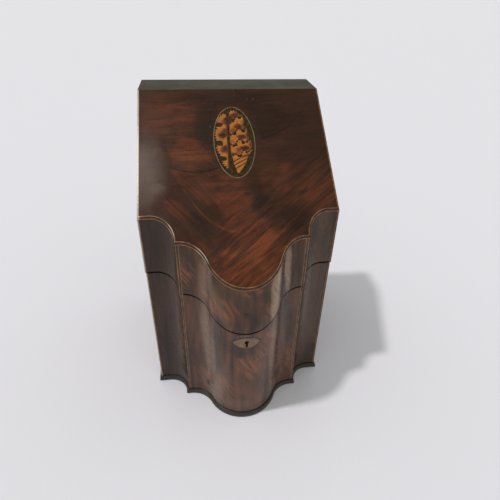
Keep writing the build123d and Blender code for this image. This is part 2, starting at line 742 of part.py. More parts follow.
def make_moulding():
    """The base moulding in five mitred lengths: a nose with a sloping shoulder below a narrow fillet."""
    shoulder = MOULD_NOSE - MOULD_PROUD + MOULD_STEP
    with BuildPart() as ring:
        with BuildLine():
            Polyline((CORNER_X, BACK_Y), (CORNER_X, CORNER_Y), (COVE_X, CORNER_Y))
            CenterArc((COVE_X, INNER_Y), COVE_RADIUS, 90, 90)
            Line((INNER_X, INNER_Y), (HOLLOW_X, INNER_Y))
            CenterArc((HOLLOW_X, HOLLOW_Y), HOLLOW_RADIUS, 90, BOW_TURN)
            CenterArc((0, BOW_Y), BOW_RADIUS, -90, BOW_TURN)
            mirror(about=Plane.YZ)
        with BuildSketch(Plane.XZ.offset(-BACK_Y)):
            with Locations((CORNER_X, 0)):
                Polygon(
                    (0, 0),
                    (MOULD_PROUD, 0),
                    (MOULD_PROUD, shoulder),
                    (MOULD_STEP, MOULD_NOSE),
                    (MOULD_STEP, MOULD_HEIGHT),
                    (0, MOULD_HEIGHT),
                    align=None,
                )
        sweep(transition=Transition.RIGHT)

    def length(zone):
        """The stretch of the ring inside one zone."""
        with BuildPart() as stretch:
            add(ring.part)
            with BuildSketch():
                Polygon(*zone, align=None)
            extrude(amount=MOULD_HEIGHT, mode=Mode.INTERSECT)
        return stretch.part

    keep_pair(length(side_zone()), "base_moulding_side")
    keep_pair(length(cove_zone()), "base_moulding_cove")
    keep(length(front_zone()), "base_moulding_front")


# ---------------------------------------------------------------- rack

RACK_BACK = ROOM_BACK - RACK_GAP
RACK_FRONT = CORNER_Y + WALL + RACK_GAP
ROW_PITCH = (RACK_BACK - RACK_FRONT) / ROWS
RACK_WIDTH = 2 * (ROOM_X - RACK_GAP)
COLUMN_PITCH = 2 * (ROOM_X - BEARER_WIDTH) / COLUMNS
SIDE_WELL_X = INNER_X - WALL - SIDE_WELL_INSET - SIDE_WELL[0] / 2


def row_front(row):
    """Front of a row of slots, counted from the back."""
    return RACK_BACK - (row + 1) * ROW_PITCH


def tier_bottom(middle):
    """Height of the underside of a tier whose middle is at this depth."""
    return seam_z(middle) - RACK_DROP - TIER


def make_tier(row):
    """One tier with its row of slots, and the riser under its front edge."""
    front = row_front(row)
    low = tier_bottom(front + ROW_PITCH / 2)
    with BuildPart() as tier:
        with BuildSketch(Plane.XY.offset(low)):
            with Locations((0, front)):
                Rectangle(RACK_WIDTH, ROW_PITCH, align=(Align.CENTER, Align.MIN))
            with Locations((0, front + (RISER + ROW_PITCH) / 2)):
                with GridLocations(COLUMN_PITCH, 0, COLUMNS, 1):
                    Rectangle(SLOT_LENGTH, SLOT_WIDTH, mode=Mode.SUBTRACT)
        extrude(amount=TIER)
    keep(tier.part, f"rack_tier_{row + 1}")

    with BuildPart() as riser:
        with BuildSketch(Plane.XY.offset(BOTTOM)):
            with Locations((0, front)):
                Rectangle(RACK_WIDTH, RISER, align=(Align.CENTER, Align.MIN))
        extrude(amount=low - BOTTOM)
    keep(riser.part, f"rack_riser_{row + 1}")


def make_bow_tier():
    """The lowest tier, which fills the bow and has three wells."""
    low = tier_bottom((RACK_FRONT + FLAT_Y) / 2)
    with BuildPart() as tier:
        with BuildSketch(Plane.XY.offset(low)):
            add(room(RACK_GAP))
            with Locations((0, RACK_FRONT)):
                Rectangle(CASE_WIDTH, CASE_DEPTH, align=(Align.CENTER, Align.MAX), mode=Mode.INTERSECT)
            with Locations((0, FLAT_Y + BOW_WELL_INSET)):
                Rectangle(*BOW_WELL, align=(Align.CENTER, Align.MIN), mode=Mode.SUBTRACT)
            with Locations((0, RACK_FRONT - SIDE_WELL_BACK - SIDE_WELL[1] / 2)):
                with GridLocations(2 * SIDE_WELL_X, 0, 2, 1):
                    Rectangle(*SIDE_WELL, mode=Mode.SUBTRACT)
        extrude(amount=TIER)
    keep(tier.part, "rack_tier_bow")


def make_bearers():
    """Strips glued to the sides under the ends of each tier, and a ledger under the bow tier's back edge."""
    with BuildPart() as bearers:
        for row in range(ROWS):
            back = row_front(row) + ROW_PITCH
            with BuildSketch(Plane.XY.offset(tier_bottom(back - ROW_PITCH / 2))):
                with Locations((ROOM_X, back)):
                    Rectangle(BEARER_WIDTH, ROW_PITCH - RISER, align=Align.MAX)
                mirror(about=Plane.YZ)
            extrude(amount=-BEARER_HEIGHT)
        with BuildSketch(Plane.XY.offset(tier_bottom((RACK_FRONT + FLAT_Y) / 2))):
            with Locations((0, RACK_FRONT)):
                Rectangle(2 * SIDE_WELL_X + SIDE_WELL[0], BEARER_WIDTH, align=(Align.CENTER, Align.MAX))
        extrude(amount=-BEARER_HEIGHT)
    keep(bearers.part, "rack_bearers")


# ---------------------------------------------------------------- lid


def slope_ring(outer, inner, layer):
    """A strip round the slope's edge, between two distances from the lid's face and inside one layer."""
    with BuildSketch() as plan:
        add(outline(LID_PROUD - outer, BACK_Y))
        add(outline(LID_PROUD - inner, BACK_Y), mode=Mode.SUBTRACT)
    return board(plan.sketch, layer)


def lid_wall(plan):
    """A lid board with this plan, cut down for the veneers and for the inlay round the slope."""
    with BuildPart() as wall:
        add(board(plan, above_seam(VENEER)))
        add(slope_ring(0, BAND, slope_layer(0, BAND)), mode=Mode.SUBTRACT)
    return wall.part


def make_lid_walls():
    """Back, sides, coves and front of the lid, and the boards of the crown and the slope."""
    keep_pair(lid_wall(wall_plan(LID_PROUD, side_zone())), "lid_side")
    keep_pair(lid_wall(wall_plan(LID_PROUD, cove_zone())), "lid_cove")

    with BuildPart() as back:
        add(board(back_plan(), above_seam(VENEER)))
        leaf_mortises(SEAM_DOWN)
        pilot_holes(hinge_screw_planes(SEAM_DOWN))
    keep(back.part, "lid_back")

    with BuildPart() as front:
        add(lid_wall(wall_plan(LID_PROUD, front_zone())))
        add(edge_strip(LINK_WIDTH, SEAM_DOWN, FIT), mode=Mode.SUBTRACT)
        pilot_holes(LINK_SCREWS)
        with Locations(Plane(origin=(0, FRONT_Y - LID_PROUD, PULL_HOLE_Z), z_dir=(0, -1, 0))):
            Hole(PULL_HOLE_RADIUS, PULL_HOLE_DEPTH)
    keep(front.part, "lid_front")

    keep(board(room(GLUE_GAP), crown_layer(VENEER, VENEER + PANEL)), "lid_crown_board")
    keep(board(room(GLUE_GAP), slope_layer(VENEER, VENEER + PANEL)), "lid_slope_board")


def make_lid_veneers():
    """The veneers on the crown and the slope, and the inlay round the slope and down the corners."""
    keep(board(outline(LID_PROUD, BACK_Y), crown_layer(0, VENEER)), "crown_veneer")

    with BuildPart() as veneer:
        add(board(outline(LID_PROUD - BAND, BACK_Y), slope_layer(0, VENEER)))
        with BuildSketch(PATERA_PLANE):
            Ellipse(PATERA_WIDTH / 2, PATERA_LENGTH / 2)
        extrude(amount=-2 * VENEER, mode=Mode.SUBTRACT)
    keep(veneer.part, "slope_veneer")

    bead = slope_ring(0, BEAD, slope_layer(0, BEAD))
    with BuildPart() as line:
        add(slope_ring(0, BAND, slope_layer(0, BAND)))
        add(bead, mode=Mode.SUBTRACT)
    keep(bead, "slope_edge_bead")
    keep(line.part, "slope_edge_line")
    keep(board(corner_inlay_plan(LID_PROUD, 0, BEAD), above_seam(BAND)), "lid_corner_beads")
    keep(board(corner_inlay_plan(LID_PROUD, BEAD, BAND), above_seam(BAND)), "lid_corner_lines")


# ---------------------------------------------------------------- patera

PATERA_PLANE = Plane(
    origin=(
        0,
        CROWN_Y - PATERA_DOWN * cos(radians(SLOPE_ANGLE)),
        CASE_HEIGHT - PATERA_DOWN * sin(radians(SLOPE_ANGLE)),
    ),
    x_dir=(1, 0, 0),
    z_dir=SLOPE_UP,
)


def shell_shape():
    """A conch shell: an oval body with a scalloped edge, and a leaning pointed spire at its foot."""
    across, along = SHELL_BODY
    with BuildSketch(PATERA_PLANE) as shape:
        with Locations((0, SHELL_RISE)):
            Ellipse(across, along)
            for n in range(SHELL_SCALLOPS):
                turn = 2 * pi * (n + 0.5) / SHELL_SCALLOPS
                with Locations((across * sin(turn), along * cos(turn))):
                    Circle(SCALLOP_RADIUS)
        foot = SHELL_RISE - along
        Polygon(
            (-SPIRE_WIDTH / 2, foot + SPIRE_LENGTH / 2),
            (SPIRE_WIDTH / 2, foot + SPIRE_LENGTH / 2),
            (SPIRE_LEAN, foot - SPIRE_LENGTH / 2),
            align=None,
        )
    return shape.sketch


def make_patera():
    """The oval in the slope: a line round it, a dark ground, and the shell let into the ground."""
    with BuildPart() as line:
        with BuildSketch(PATERA_PLANE):
            Ellipse(PATERA_WIDTH / 2, PATERA_LENGTH / 2)
            Ellipse(PATERA_WIDTH / 2 - PATERA_LINE, PATERA_LENGTH / 2 - PATERA_LINE, mode=Mode.SUBTRACT)
        extrude(amount=-VENEER)
    keep(line.part, "patera_line")

    with BuildPart() as shell:
        extrude(shell_shape(), amount=-SHELL_DEPTH)
    keep(shell.part, "patera_shell")

    with BuildPart() as ground:
        with BuildSketch(PATERA_PLANE):
            Ellipse(PATERA_WIDTH / 2 - PATERA_LINE, PATERA_LENGTH / 2 - PATERA_LINE)
        extrude(amount=-VENEER)
        add(shell.part, mode=Mode.SUBTRACT)
    keep(ground.part, "patera_ground")


make_case_walls()
make_moulding()
make_escutcheon()
for row_number in range(ROWS):
    make_tier(row_number)
make_bow_tier()
make_bearers()
make_lid_walls()
make_lid_veneers()
make_patera()
make_hinges()
make_lock_case()
make_bolt()
make_lock_works()
make_link()
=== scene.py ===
"""Dresses the knife box: veneers, inlay, escutcheon, fittings and the cutlery rack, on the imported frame.

Lengths are metres in the frame's own axes: +X to the right and +Y to the back as seen from the front, +Z up.
Patterns in the finishes are laid out in millimetres, because that is how a veneer is measured.
"""

import json
import logging
import math
from collections.abc import Callable, Iterable, Sequence
from dataclasses import dataclass
from enum import Enum

import bmesh
import bpy
from mathutils import Matrix, Vector
from mathutils.kdtree import KDTree

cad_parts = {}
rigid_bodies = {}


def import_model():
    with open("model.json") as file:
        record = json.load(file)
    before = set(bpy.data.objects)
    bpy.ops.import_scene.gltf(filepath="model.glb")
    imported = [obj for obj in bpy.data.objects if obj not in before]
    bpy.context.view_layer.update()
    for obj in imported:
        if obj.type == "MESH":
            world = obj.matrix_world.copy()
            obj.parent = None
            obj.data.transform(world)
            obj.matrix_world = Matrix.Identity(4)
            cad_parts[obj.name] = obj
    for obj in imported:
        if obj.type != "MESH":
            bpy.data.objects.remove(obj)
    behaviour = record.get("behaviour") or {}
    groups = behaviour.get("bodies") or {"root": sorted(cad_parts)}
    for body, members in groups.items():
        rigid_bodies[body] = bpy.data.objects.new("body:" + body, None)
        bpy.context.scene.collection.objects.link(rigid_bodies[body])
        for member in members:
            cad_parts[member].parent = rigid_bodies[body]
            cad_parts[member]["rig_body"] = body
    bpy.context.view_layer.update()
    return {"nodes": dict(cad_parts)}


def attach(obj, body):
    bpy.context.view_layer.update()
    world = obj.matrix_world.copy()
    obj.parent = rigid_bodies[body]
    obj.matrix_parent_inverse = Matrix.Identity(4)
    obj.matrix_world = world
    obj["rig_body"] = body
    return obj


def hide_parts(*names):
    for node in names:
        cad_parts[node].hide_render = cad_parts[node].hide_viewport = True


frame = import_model()
LOG = logging.getLogger("knife_box")
MM = 0.001
Colour = tuple[float, float, float]
Point = tuple[float, float]
Triple = tuple[float, float, float]
SIDES = (-1, 1)  # left and right


class Axis(Enum):
    """The way the grain of a board runs."""

    X = 0
    Y = 1
    Z = 2


def tint(red: int, green: int, blue: int) -> Colour:
    """Turns a colour as a screen shows it (0 to 255) into the light it stands for."""
    shares = [value / 255 for value in (red, green, blue)]
    return tuple(s / 12.92 if s <= 0.04045 else ((s + 0.055) / 1.055) ** 2.4 for s in shares)


# The case's shape


@dataclass(frozen=True)
class Shape:
    """The box's driving sizes, in millimetres, as the frame has them."""

    corner_x: float = 110.0
    corner_y: float = -63.4
    cove_x: float = 98.0
    cove_radius: float = 25.5
    inner_x: float = 72.5
    inner_y: float = -88.9
    hollow_x: float = 69.0
    hollow_radius: float = 32.0
    back_y: float = 130.6
    front_y: float = -133.4
    crown_y: float = 74.6
    height: float = 361.0
    slope_angle: float = math.radians(35)
    seam_angle: float = math.radians(30)
    seam_back: float = 303.0
    seam_gap: float = 0.4
    lid_proud: float = 0.8

    @property
    def hollow_y(self) -> float:
        """Depth of the middle of the hollows' arcs."""
        return self.inner_y - self.hollow_radius

    @property
    def bow_radius(self) -> float:
        """Radius of the bow, which runs tangent into the hollows."""
        ahead = (self.hollow_y - self.front_y) ** 2 - self.hollow_radius**2
        return (self.hollow_x**2 + ahead) / (2 * (self.inner_y - self.front_y))

    @property
    def bow_y(self) -> float:
        """Depth of the middle of the bow's arc."""
        return self.front_y + self.bow_radius

    @property
    def bow_turn(self) -> float:
        """The angle that the bow and each hollow turn through."""
        return math.atan2(self.hollow_x, self.bow_y - self.hollow_y)

    def seam_z(self, y: float) -> float:
        """Height of the middle of the seam at y."""
        return self.seam_back + math.tan(self.seam_angle) * (y - self.back_y)

    def slope_z(self, y: float) -> float:
        """Height of the slope at y."""
        return self.height - math.tan(self.slope_angle) * (self.crown_y - y)

    def front_y_at(self, x: float) -> float:
        """Depth of the serpentine front's face at x.

        Args:
            x: Where across the front, in millimetres.

        Returns:
            The depth, in millimetres.
        """
        across = abs(x)
        if across <= self.bow_radius * math.sin(self.bow_turn):
            return self.bow_y - math.sqrt(self.bow_radius**2 - across**2)
        if across <= self.hollow_x:
            return self.hollow_y + math.sqrt(self.hollow_radius**2 - (self.hollow_x - across) ** 2)
        return self.inner_y

    def slope_point(self, across: float, down: float, lift: float = 0.0) -> Vector:
        """A point of the slope in metres, down from the crown edge along the slope and lifted off it.

        Args:
            across: How far right of the middle.
            down: How far down from the crown edge.
            lift: How far off the slope.

        Returns:
            The point.
        """
        out = (-math.sin(self.slope_angle), math.cos(self.slope_angle))
        y = self.crown_y - down * math.cos(self.slope_angle) + lift * out[0]
        z = self.height - down * math.sin(self.slope_angle) + lift * out[1]
        return Vector((across, y, z)) * MM

    def ring(self, grow: float, steps: int = 28) -> list[Point]:
        """The outline from the right back corner round the front to the left back corner, moved out by grow.

        Args:
            grow: How far outside the case's faces the line runs.
            steps: Points on each arc, the same for every grow, so that rings can be skinned.

        Returns:
            The points, in millimetres.
        """
        def arc(x: float, y: float, radius: float, start: float, turn: float) -> list[Point]:
            """Points along an arc, from its start through its turn."""
            angles = [start + turn * n / steps for n in range(steps + 1)]
            return [(x + radius * math.cos(angle), y + radius * math.sin(angle)) for angle in angles]

        quarter = math.pi / 2
        half = [(self.corner_x + grow, self.back_y), (self.corner_x + grow, self.corner_y - grow)]
        half += arc(self.cove_x, self.inner_y, self.cove_radius - grow, quarter, quarter)
        half.append((self.inner_x + grow, self.inner_y - grow))
        half += arc(self.hollow_x, self.hollow_y, self.hollow_radius - grow, quarter, self.bow_turn)
        half += arc(0, self.bow_y, self.bow_radius + grow, self.bow_turn - quarter, -self.bow_turn)[1:]
        return half + [(-x, y) for x, y in reversed(half[:-1])]


SHAPE = Shape()


# Node trees


class Signal:
    """One socket's value in a node tree. Python's operators on it add Math nodes."""

    def __init__(self, graph: "Graph", socket: bpy.types.NodeSocket) -> None:
        """Keeps the tree and the socket."""
        self.graph = graph
        self.socket = socket

    def _math(self, operation: str, *values: "Signal | float") -> "Signal":
        """Adds one Math node."""
        return self.graph.node("ShaderNodeMath", {"operation": operation}, dict(enumerate(values)))

    def __add__(self, other: "Signal | float") -> "Signal":
        """self + other."""
        return self._math("ADD", self, other)

    def __radd__(self, other: float) -> "Signal":
        """other + self."""
        return self._math("ADD", other, self)

    def __sub__(self, other: "Signal | float") -> "Signal":
        """self - other."""
        return self._math("SUBTRACT", self, other)

    def __rsub__(self, other: float) -> "Signal":
        """other - self."""
        return self._math("SUBTRACT", other, self)

    def __mul__(self, other: "Signal | float") -> "Signal":
        """self * other."""
        return self._math("MULTIPLY", self, other)

    def __truediv__(self, other: "Signal | float") -> "Signal":
        """self / other."""
        return self._math("DIVIDE", self, other)

    def __abs__(self) -> "Signal":
        """The size of self."""
        return self._math("ABSOLUTE", self)

    def over(self, other: "Signal | float") -> "Signal":
        """The larger of the two."""
        return self._math("MAXIMUM", self, other)

    def fit(self, low: float, high: float, start: float = 0.0, end: float = 1.0) -> "Signal":
        """Eases from start at low to end at high, and holds those values outside.

        Args:
            low: The value of self that gives start.
            high: The value of self that gives end.
            start: What comes out at low.
            end: What comes out at high.

        Returns:
            The eased value.
        """
        if low > high:
            low, high, start, end = high, low, end, start
        settings = {"interpolation_type": "SMOOTHSTEP"}
        return self.graph.node("ShaderNodeMapRange", settings, dict(enumerate((self, low, high, start, end))))


class Graph:
    """Fills one node tree. Every node comes from its node method."""

    def __init__(self, tree: bpy.types.NodeTree) -> None:
        """Keeps the tree."""
        self.tree = tree

    def node(
        self, kind: str, settings: dict[str, object] | None = None,
        inputs: dict[str | int, "Signal | object"] | None = None, output: str | int = 0,
    ) -> Signal:
        """Adds a node.

        Args:
            kind: The node's type.
            settings: Its own settings, set before its sockets. The key stops fills a colour ramp.
            inputs: Values or links of its sockets, by name or place.
            output: The socket that is wanted.

        Returns:
            That output.
        """
        made = self.tree.nodes.new(kind)
        for name, value in (settings or {}).items():
            if name == "stops":
                self._fill_ramp(made.color_ramp, value)
            else:
                setattr(made, name, value)
        for key, value in (inputs or {}).items():
            socket = made.inputs[key]
            if isinstance(value, Signal):
                self.tree.links.new(value.socket, socket)
            else:
                socket.default_value = value
        return Signal(self, made.outputs[output]) if len(made.outputs) else Signal(self, made.inputs[0])

    @staticmethod
    def _fill_ramp(ramp: bpy.types.ColorRamp, stops: Sequence[tuple[float, Colour]]) -> None:
        """Sets a ramp's stops.

        Args:
            ramp: The ramp.
            stops: The place and colour of each stop.
        """
        while len(ramp.elements) < len(stops):
            ramp.elements.new(1.0)
        for element, (place, colour) in zip(ramp.elements, stops):
            element.position = place
            element.color = (*colour, 1.0)

    def vector(self, x: Signal | float, y: Signal | float, z: Signal | float = 0.0) -> Signal:
        """A vector from three parts."""
        return self.node("ShaderNodeCombineXYZ", inputs={0: x, 1: y, 2: z})

    def split(self, vector: Signal) -> tuple[Signal, Signal, Signal]:
        """The three parts of a vector."""
        made = self.node("ShaderNodeSeparateXYZ", inputs={0: vector})
        return tuple(Signal(self, socket) for socket in made.socket.node.outputs)


@dataclass(frozen=True)
class Blot:
    """A soft-edged patch of a veneer: its middle, half sizes, strength and lean."""

    across: float
    along: float
    half_across: float
    half_along: float
    strength: float = 1.0
    lean: float = 0.0


@dataclass(frozen=True)
class Hairline:
    """A fine line that follows a parabola: its turning point, bend, ends and width."""

    across: float
    along: float
    bend: float
    start: float
    end: float
    width: float
    strength: float = 1.0


def each(kind: type, *rows: tuple[float, ...]) -> tuple:
    """One patch or line from each row of its numbers."""
    return tuple(kind(*row) for row in rows)


class Paint(Graph):
    """A material's node tree, with the patterns that wood and metal need."""

    def place(self) -> Signal:
        """The point on the object, in millimetres."""
        spot = self.node("ShaderNodeTexCoord", output="Object")
        return self.node("ShaderNodeVectorMath", {"operation": "SCALE"}, {0: spot, "Scale": 1 / MM})

    def noise(self, vector: Signal, scale: float | Triple = 1.0, detail: float = 3.0, warp: float = 0.0) -> Signal:
        """Cloudy noise from 0 to 1, at scale changes for each unit of the vector or of its parts.

        Args:
            vector: Where the noise is read.
            scale: Changes for each unit, as one number or as one for each part.
            detail: How many finer layers it has.
            warp: How far it is bent by itself.

        Returns:
            The noise.
        """
        if isinstance(scale, tuple):
            vector = self.node("ShaderNodeVectorMath", {"operation": "MULTIPLY"}, {0: vector, 1: scale})
            scale = 1.0
        inputs = {"Vector": vector, "Scale": scale, "Detail": detail, "Distortion": warp}
        return self.node("ShaderNodeTexNoise", {"noise_dimensions": "3D"}, inputs)

    def ragged(self, vector: Signal, scale: float, detail: float, size: float) -> Signal:
        """Noise about zero, to break up edges."""
        return (self.noise(vector, scale, detail) - 0.5) * size

    def mix(self, share: Signal | float, first: Signal | Colour, second: Signal | Colour) -> Signal:
        """A colour between two colours."""
        first, second = (value if isinstance(value, Signal) else (*value, 1.0) for value in (first, second))
        return self.node("ShaderNodeMix", {"data_type": "RGBA"}, {0: share, 6: first, 7: second}, 2)

    def ramp(self, value: Signal, stops: Sequence[tuple[float, Colour]]) -> Signal:
        """A colour from a ramp."""
        return self.node("ShaderNodeValToRGB", {"stops": stops}, {0: value})

    def blots(
        self, across: Signal, along: Signal, ragged: Signal, patches: Iterable[Blot], full: float = 0.1
    ) -> Signal:
        """The strongest of several soft patches.

        Args:
            across: The sheet's first coordinate.
            along: The sheet's second coordinate.
            ragged: A noise about zero that breaks up their edges.
            patches: The patches.
            full: The squared share of its size at which a patch reaches its strength.

        Returns:
            0 outside them, up to each one's strength inside.
        """
        total: Signal | None = None
        for blot in patches:
            sine, cosine = math.sin(math.radians(blot.lean)), math.cos(math.radians(blot.lean))
            dx, dy = across - blot.across, along - blot.along
            turned_x = (dx * cosine + dy * sine) / blot.half_across
            turned_y = (dy * cosine - dx * sine) / blot.half_along
            mask = (turned_x * turned_x + turned_y * turned_y + ragged).fit(1.5, full, 0.0, blot.strength)
            total = mask if total is None else total.over(mask)
        return total

    def hairlines(self, across: Signal, along: Signal, lines: Iterable[Hairline]) -> Signal:
        """The strongest of several fine curved lines.

        Args:
            across: The coordinate that the lines run along.
            along: The coordinate that they bend in.
            lines: The lines.

        Returns:
            0 off them, up to each one's strength on them.
        """
        total: Signal | None = None
        for line in lines:
            offset = across - line.across
            away = abs(along - line.along + offset * offset * line.bend)
            middle, half = (line.start + line.end) / 2, (line.end - line.start) / 2
            window = abs(across - middle).fit(half, half * 0.6, 0.0, line.strength)
            mask = away.fit(line.width, line.width * 0.3) * window
            total = mask if total is None else total.over(mask)
        return total


# Finishes

SEAM_SHADE_AND_DIRT = tint(14, 16, 13)  # painted shade in the seam, with old wax and dirt


@dataclass
class Layers:
    """What a finish gives its shader."""

    colour: Signal
    roughness: Signal
    height: Signal | None = None
    seam_shade_and_dirt: Signal | None = None


@dataclass(frozen=True)
class Finish:
    """A surface finish, which builds its material once."""

    name: str
    gloss: float = 0.5
    metallic: float = 0.0
    relief: float = 0.12  # depth of its texture in millimetres

    def layers(self, paint: Paint) -> Layers:
        """Lays out the colour, roughness and texture."""
        raise NotImplementedError

    def material(self) -> bpy.types.Material:
        """The finish as a material, made the first time that it is asked for.

        Returns:
            The material.
        """
        label = f"{self.name}_finish"
        if label in bpy.data.materials:
            return bpy.data.materials[label]
        made = bpy.data.materials.new(label)
        made.use_nodes = True
        made.node_tree.nodes.clear()
        paint = Paint(made.node_tree)
        layers = self.layers(paint)
        inputs = {"Base Color": layers.colour, "Roughness": layers.roughness}
        inputs |= {"Metallic": self.metallic, "Specular IOR Level": self.gloss}
        if layers.height is not None:
            bump = {"Strength": 1.0, "Distance": self.relief * MM, "Height": layers.height}
            inputs["Normal"] = paint.node("ShaderNodeBump", inputs=bump)
        shader = paint.node("ShaderNodeBsdfPrincipled", inputs=inputs)
        if layers.seam_shade_and_dirt is not None:
            # a matt near-black shader mixed over the seam: painted shade, with old wax and dirt
            matt = {"Base Color": (*SEAM_SHADE_AND_DIRT, 1.0), "Roughness": 0.9, "Specular IOR Level": 0.05}
            seam_shade_shader = paint.node("ShaderNodeBsdfPrincipled", inputs=matt)
            shader = paint.node("ShaderNodeMixShader", inputs={0: layers.seam_shade_and_dirt, 1: shader, 2: seam_shade_shader})
        paint.node("ShaderNodeOutputMaterial", inputs={"Surface": shader})
        return made


@dataclass(frozen=True)
class Mahogany(Finish):
    """Polished mahogany with its grain along one axis."""

    grain: Axis = Axis.Z
    dark: Colour = tint(46, 26, 22)
    light: Colour = tint(100, 58, 40)
    figure: float = 0.55
    polish: float = 0.30

    def along_grain(self, across: float, along: float) -> Triple:
        """Scales for the three axes: one across the grain and one along it.

        Args:
            across: Changes across the grain.
            along: Changes along it.

        Returns:
            The three scales.
        """
        scale = [across, across, across]
        scale[self.grain.value] = along
        return tuple(scale)

    def tone(self, paint: Paint, place: Signal) -> Signal:
        """How light the wood is, from 0 to 1, from its ribbon figure, its clouds, and its fine and coarse fibres.

        Args:
            paint: The material's node tree.
            place: The point on the object, in millimetres.

        Returns:
            The tone.
        """
        total = 0.45
        for across, along, detail, warp, size in (
            (0.11, 0.012, 4, 0.6, 1.5 * self.figure),
            (0.03, 0.009, 3, 0.0, 1.3 * self.figure),
            (2.2, 0.06, 3, 0.0, 0.5),
            (0.7, 0.03, 3, 0.0, 0.5),
        ):
            total = (paint.noise(place, self.along_grain(across, along), detail, warp) - 0.5) * size + total
        return total

    def wood(self, paint: Paint, place: Signal, tone: Signal) -> Layers:
        """Colours a tone, and adds the short dark dashes of open pores and the polish's unevenness.

        Args:
            paint: The material's node tree.
            place: The point on the object, in millimetres.
            tone: How light the wood is.

        Returns:
            The wood's layers.
        """
        pores = paint.noise(place, self.along_grain(4.5, 0.4), 1).fit(0.60, 0.74)
        colour = paint.mix(tone.fit(0.0, 1.0), self.dark, self.light)
        colour = paint.mix(pores * 0.45, colour, tuple(part * 0.35 for part in self.dark))
        smudge = paint.noise(place, 0.035, 4, 0.4)
        roughness = smudge.fit(0.3, 0.7, self.polish - 0.04, self.polish + 0.06) + pores * 0.12
        height = smudge * 0.4 - pores * 0.35 + tone * 0.08
        return Layers(colour, roughness, height)

    def darken_seam(self, paint: Paint, place: Signal, layers: Layers) -> Layers:
        """Paints shade along the seam between the case and the lid, with old wax and dirt.

        Args:
            paint: The material's node tree.
            place: The point on the object, in millimetres.
            layers: The wood's layers.

        Returns:
            The layers with the seam's painted shade and dirt.
        """
        _, back, up = paint.split(place)
        away = abs(up - back * math.tan(SHAPE.seam_angle) - SHAPE.seam_z(0.0))
        # painted shade: within about 2 mm of the seam the veneer turns near-black, for the gap's shadow and its
        # dirt; the rim faces stay clear
        layers.seam_shade_and_dirt = (away + paint.ragged(place, 0.25, 2, 0.8)).fit(1.95, 1.35)
        layers.seam_shade_and_dirt = layers.seam_shade_and_dirt * abs(away - SHAPE.seam_gap / 2).fit(0.03, 0.06)
        return layers

    def layers(self, paint: Paint) -> Layers:
        """Plain mahogany."""
        place = paint.place()
        return self.darken_seam(paint, place, self.wood(paint, place, self.tone(paint, place)))


@dataclass(frozen=True)
class FrontVeneer(Mahogany):
    """Upright mahogany veneer on the serpentine front, with darker patches, its warm flame, and pale bands; some
    patches and bands are painted reflections.
    """

    dark_patches: tuple[Blot, ...] = ()
    flames: tuple[Blot, ...] = ()
    cracks: tuple[Hairline, ...] = ()
    fade_and_sheen: tuple[Blot, ...] = ()
    flame_colour: Colour = tint(140, 86, 54)
    fade_and_sheen_colour: Colour = tint(130, 108, 91)
    dark_patch_colour: Colour = tint(38, 25, 19)

    def layers(self, paint: Paint) -> Layers:
        """Mahogany with patches of its own.

        Args:
            paint: The material's node tree.

        Returns:
            The layers.
        """
        place = paint.place()
        across, _, up = paint.split(place)
        ragged = paint.ragged(place, 0.09, 4, 2.0)
        layers = self.wood(paint, place, self.tone(paint, place))
        slant = paint.noise(paint.vector(across * 0.30 + up * 0.16, up * 0.035), detail=3, warp=0.5)
        if self.flames:
            flame = paint.blots(across, up, ragged, self.flames) * slant.fit(0.35, 0.65)
            layers.colour = paint.mix(flame * 0.7, layers.colour, self.flame_colour)
        # pale bands: painted reflection of the bright floor in the polish, partly faded veneer
        if self.fade_and_sheen:
            pale = paint.blots(across + paint.ragged(place, 0.02, 2, 5.0), up, ragged * 0.4, self.fade_and_sheen, 0.0)
            layers.colour = paint.mix(pale * slant.fit(0.2, 0.6, 0.6, 1.0), layers.colour, self.fade_and_sheen_colour)
        # dark patches: stains, and on the case front also painted reflections of the floor's shadow
        if self.dark_patches:
            dark_patch = paint.blots(across, up, ragged, self.dark_patches)
            layers.colour = paint.mix(dark_patch, layers.colour, self.dark_patch_colour)
            layers.roughness = layers.roughness + dark_patch * 0.06
        if self.cracks:
            crack = paint.hairlines(up, across, self.cracks)
            layers.colour = paint.mix(crack * 0.8, layers.colour, tint(24, 16, 14))
            layers.height = layers.height - crack * 2.0
        return self.darken_seam(paint, place, layers)


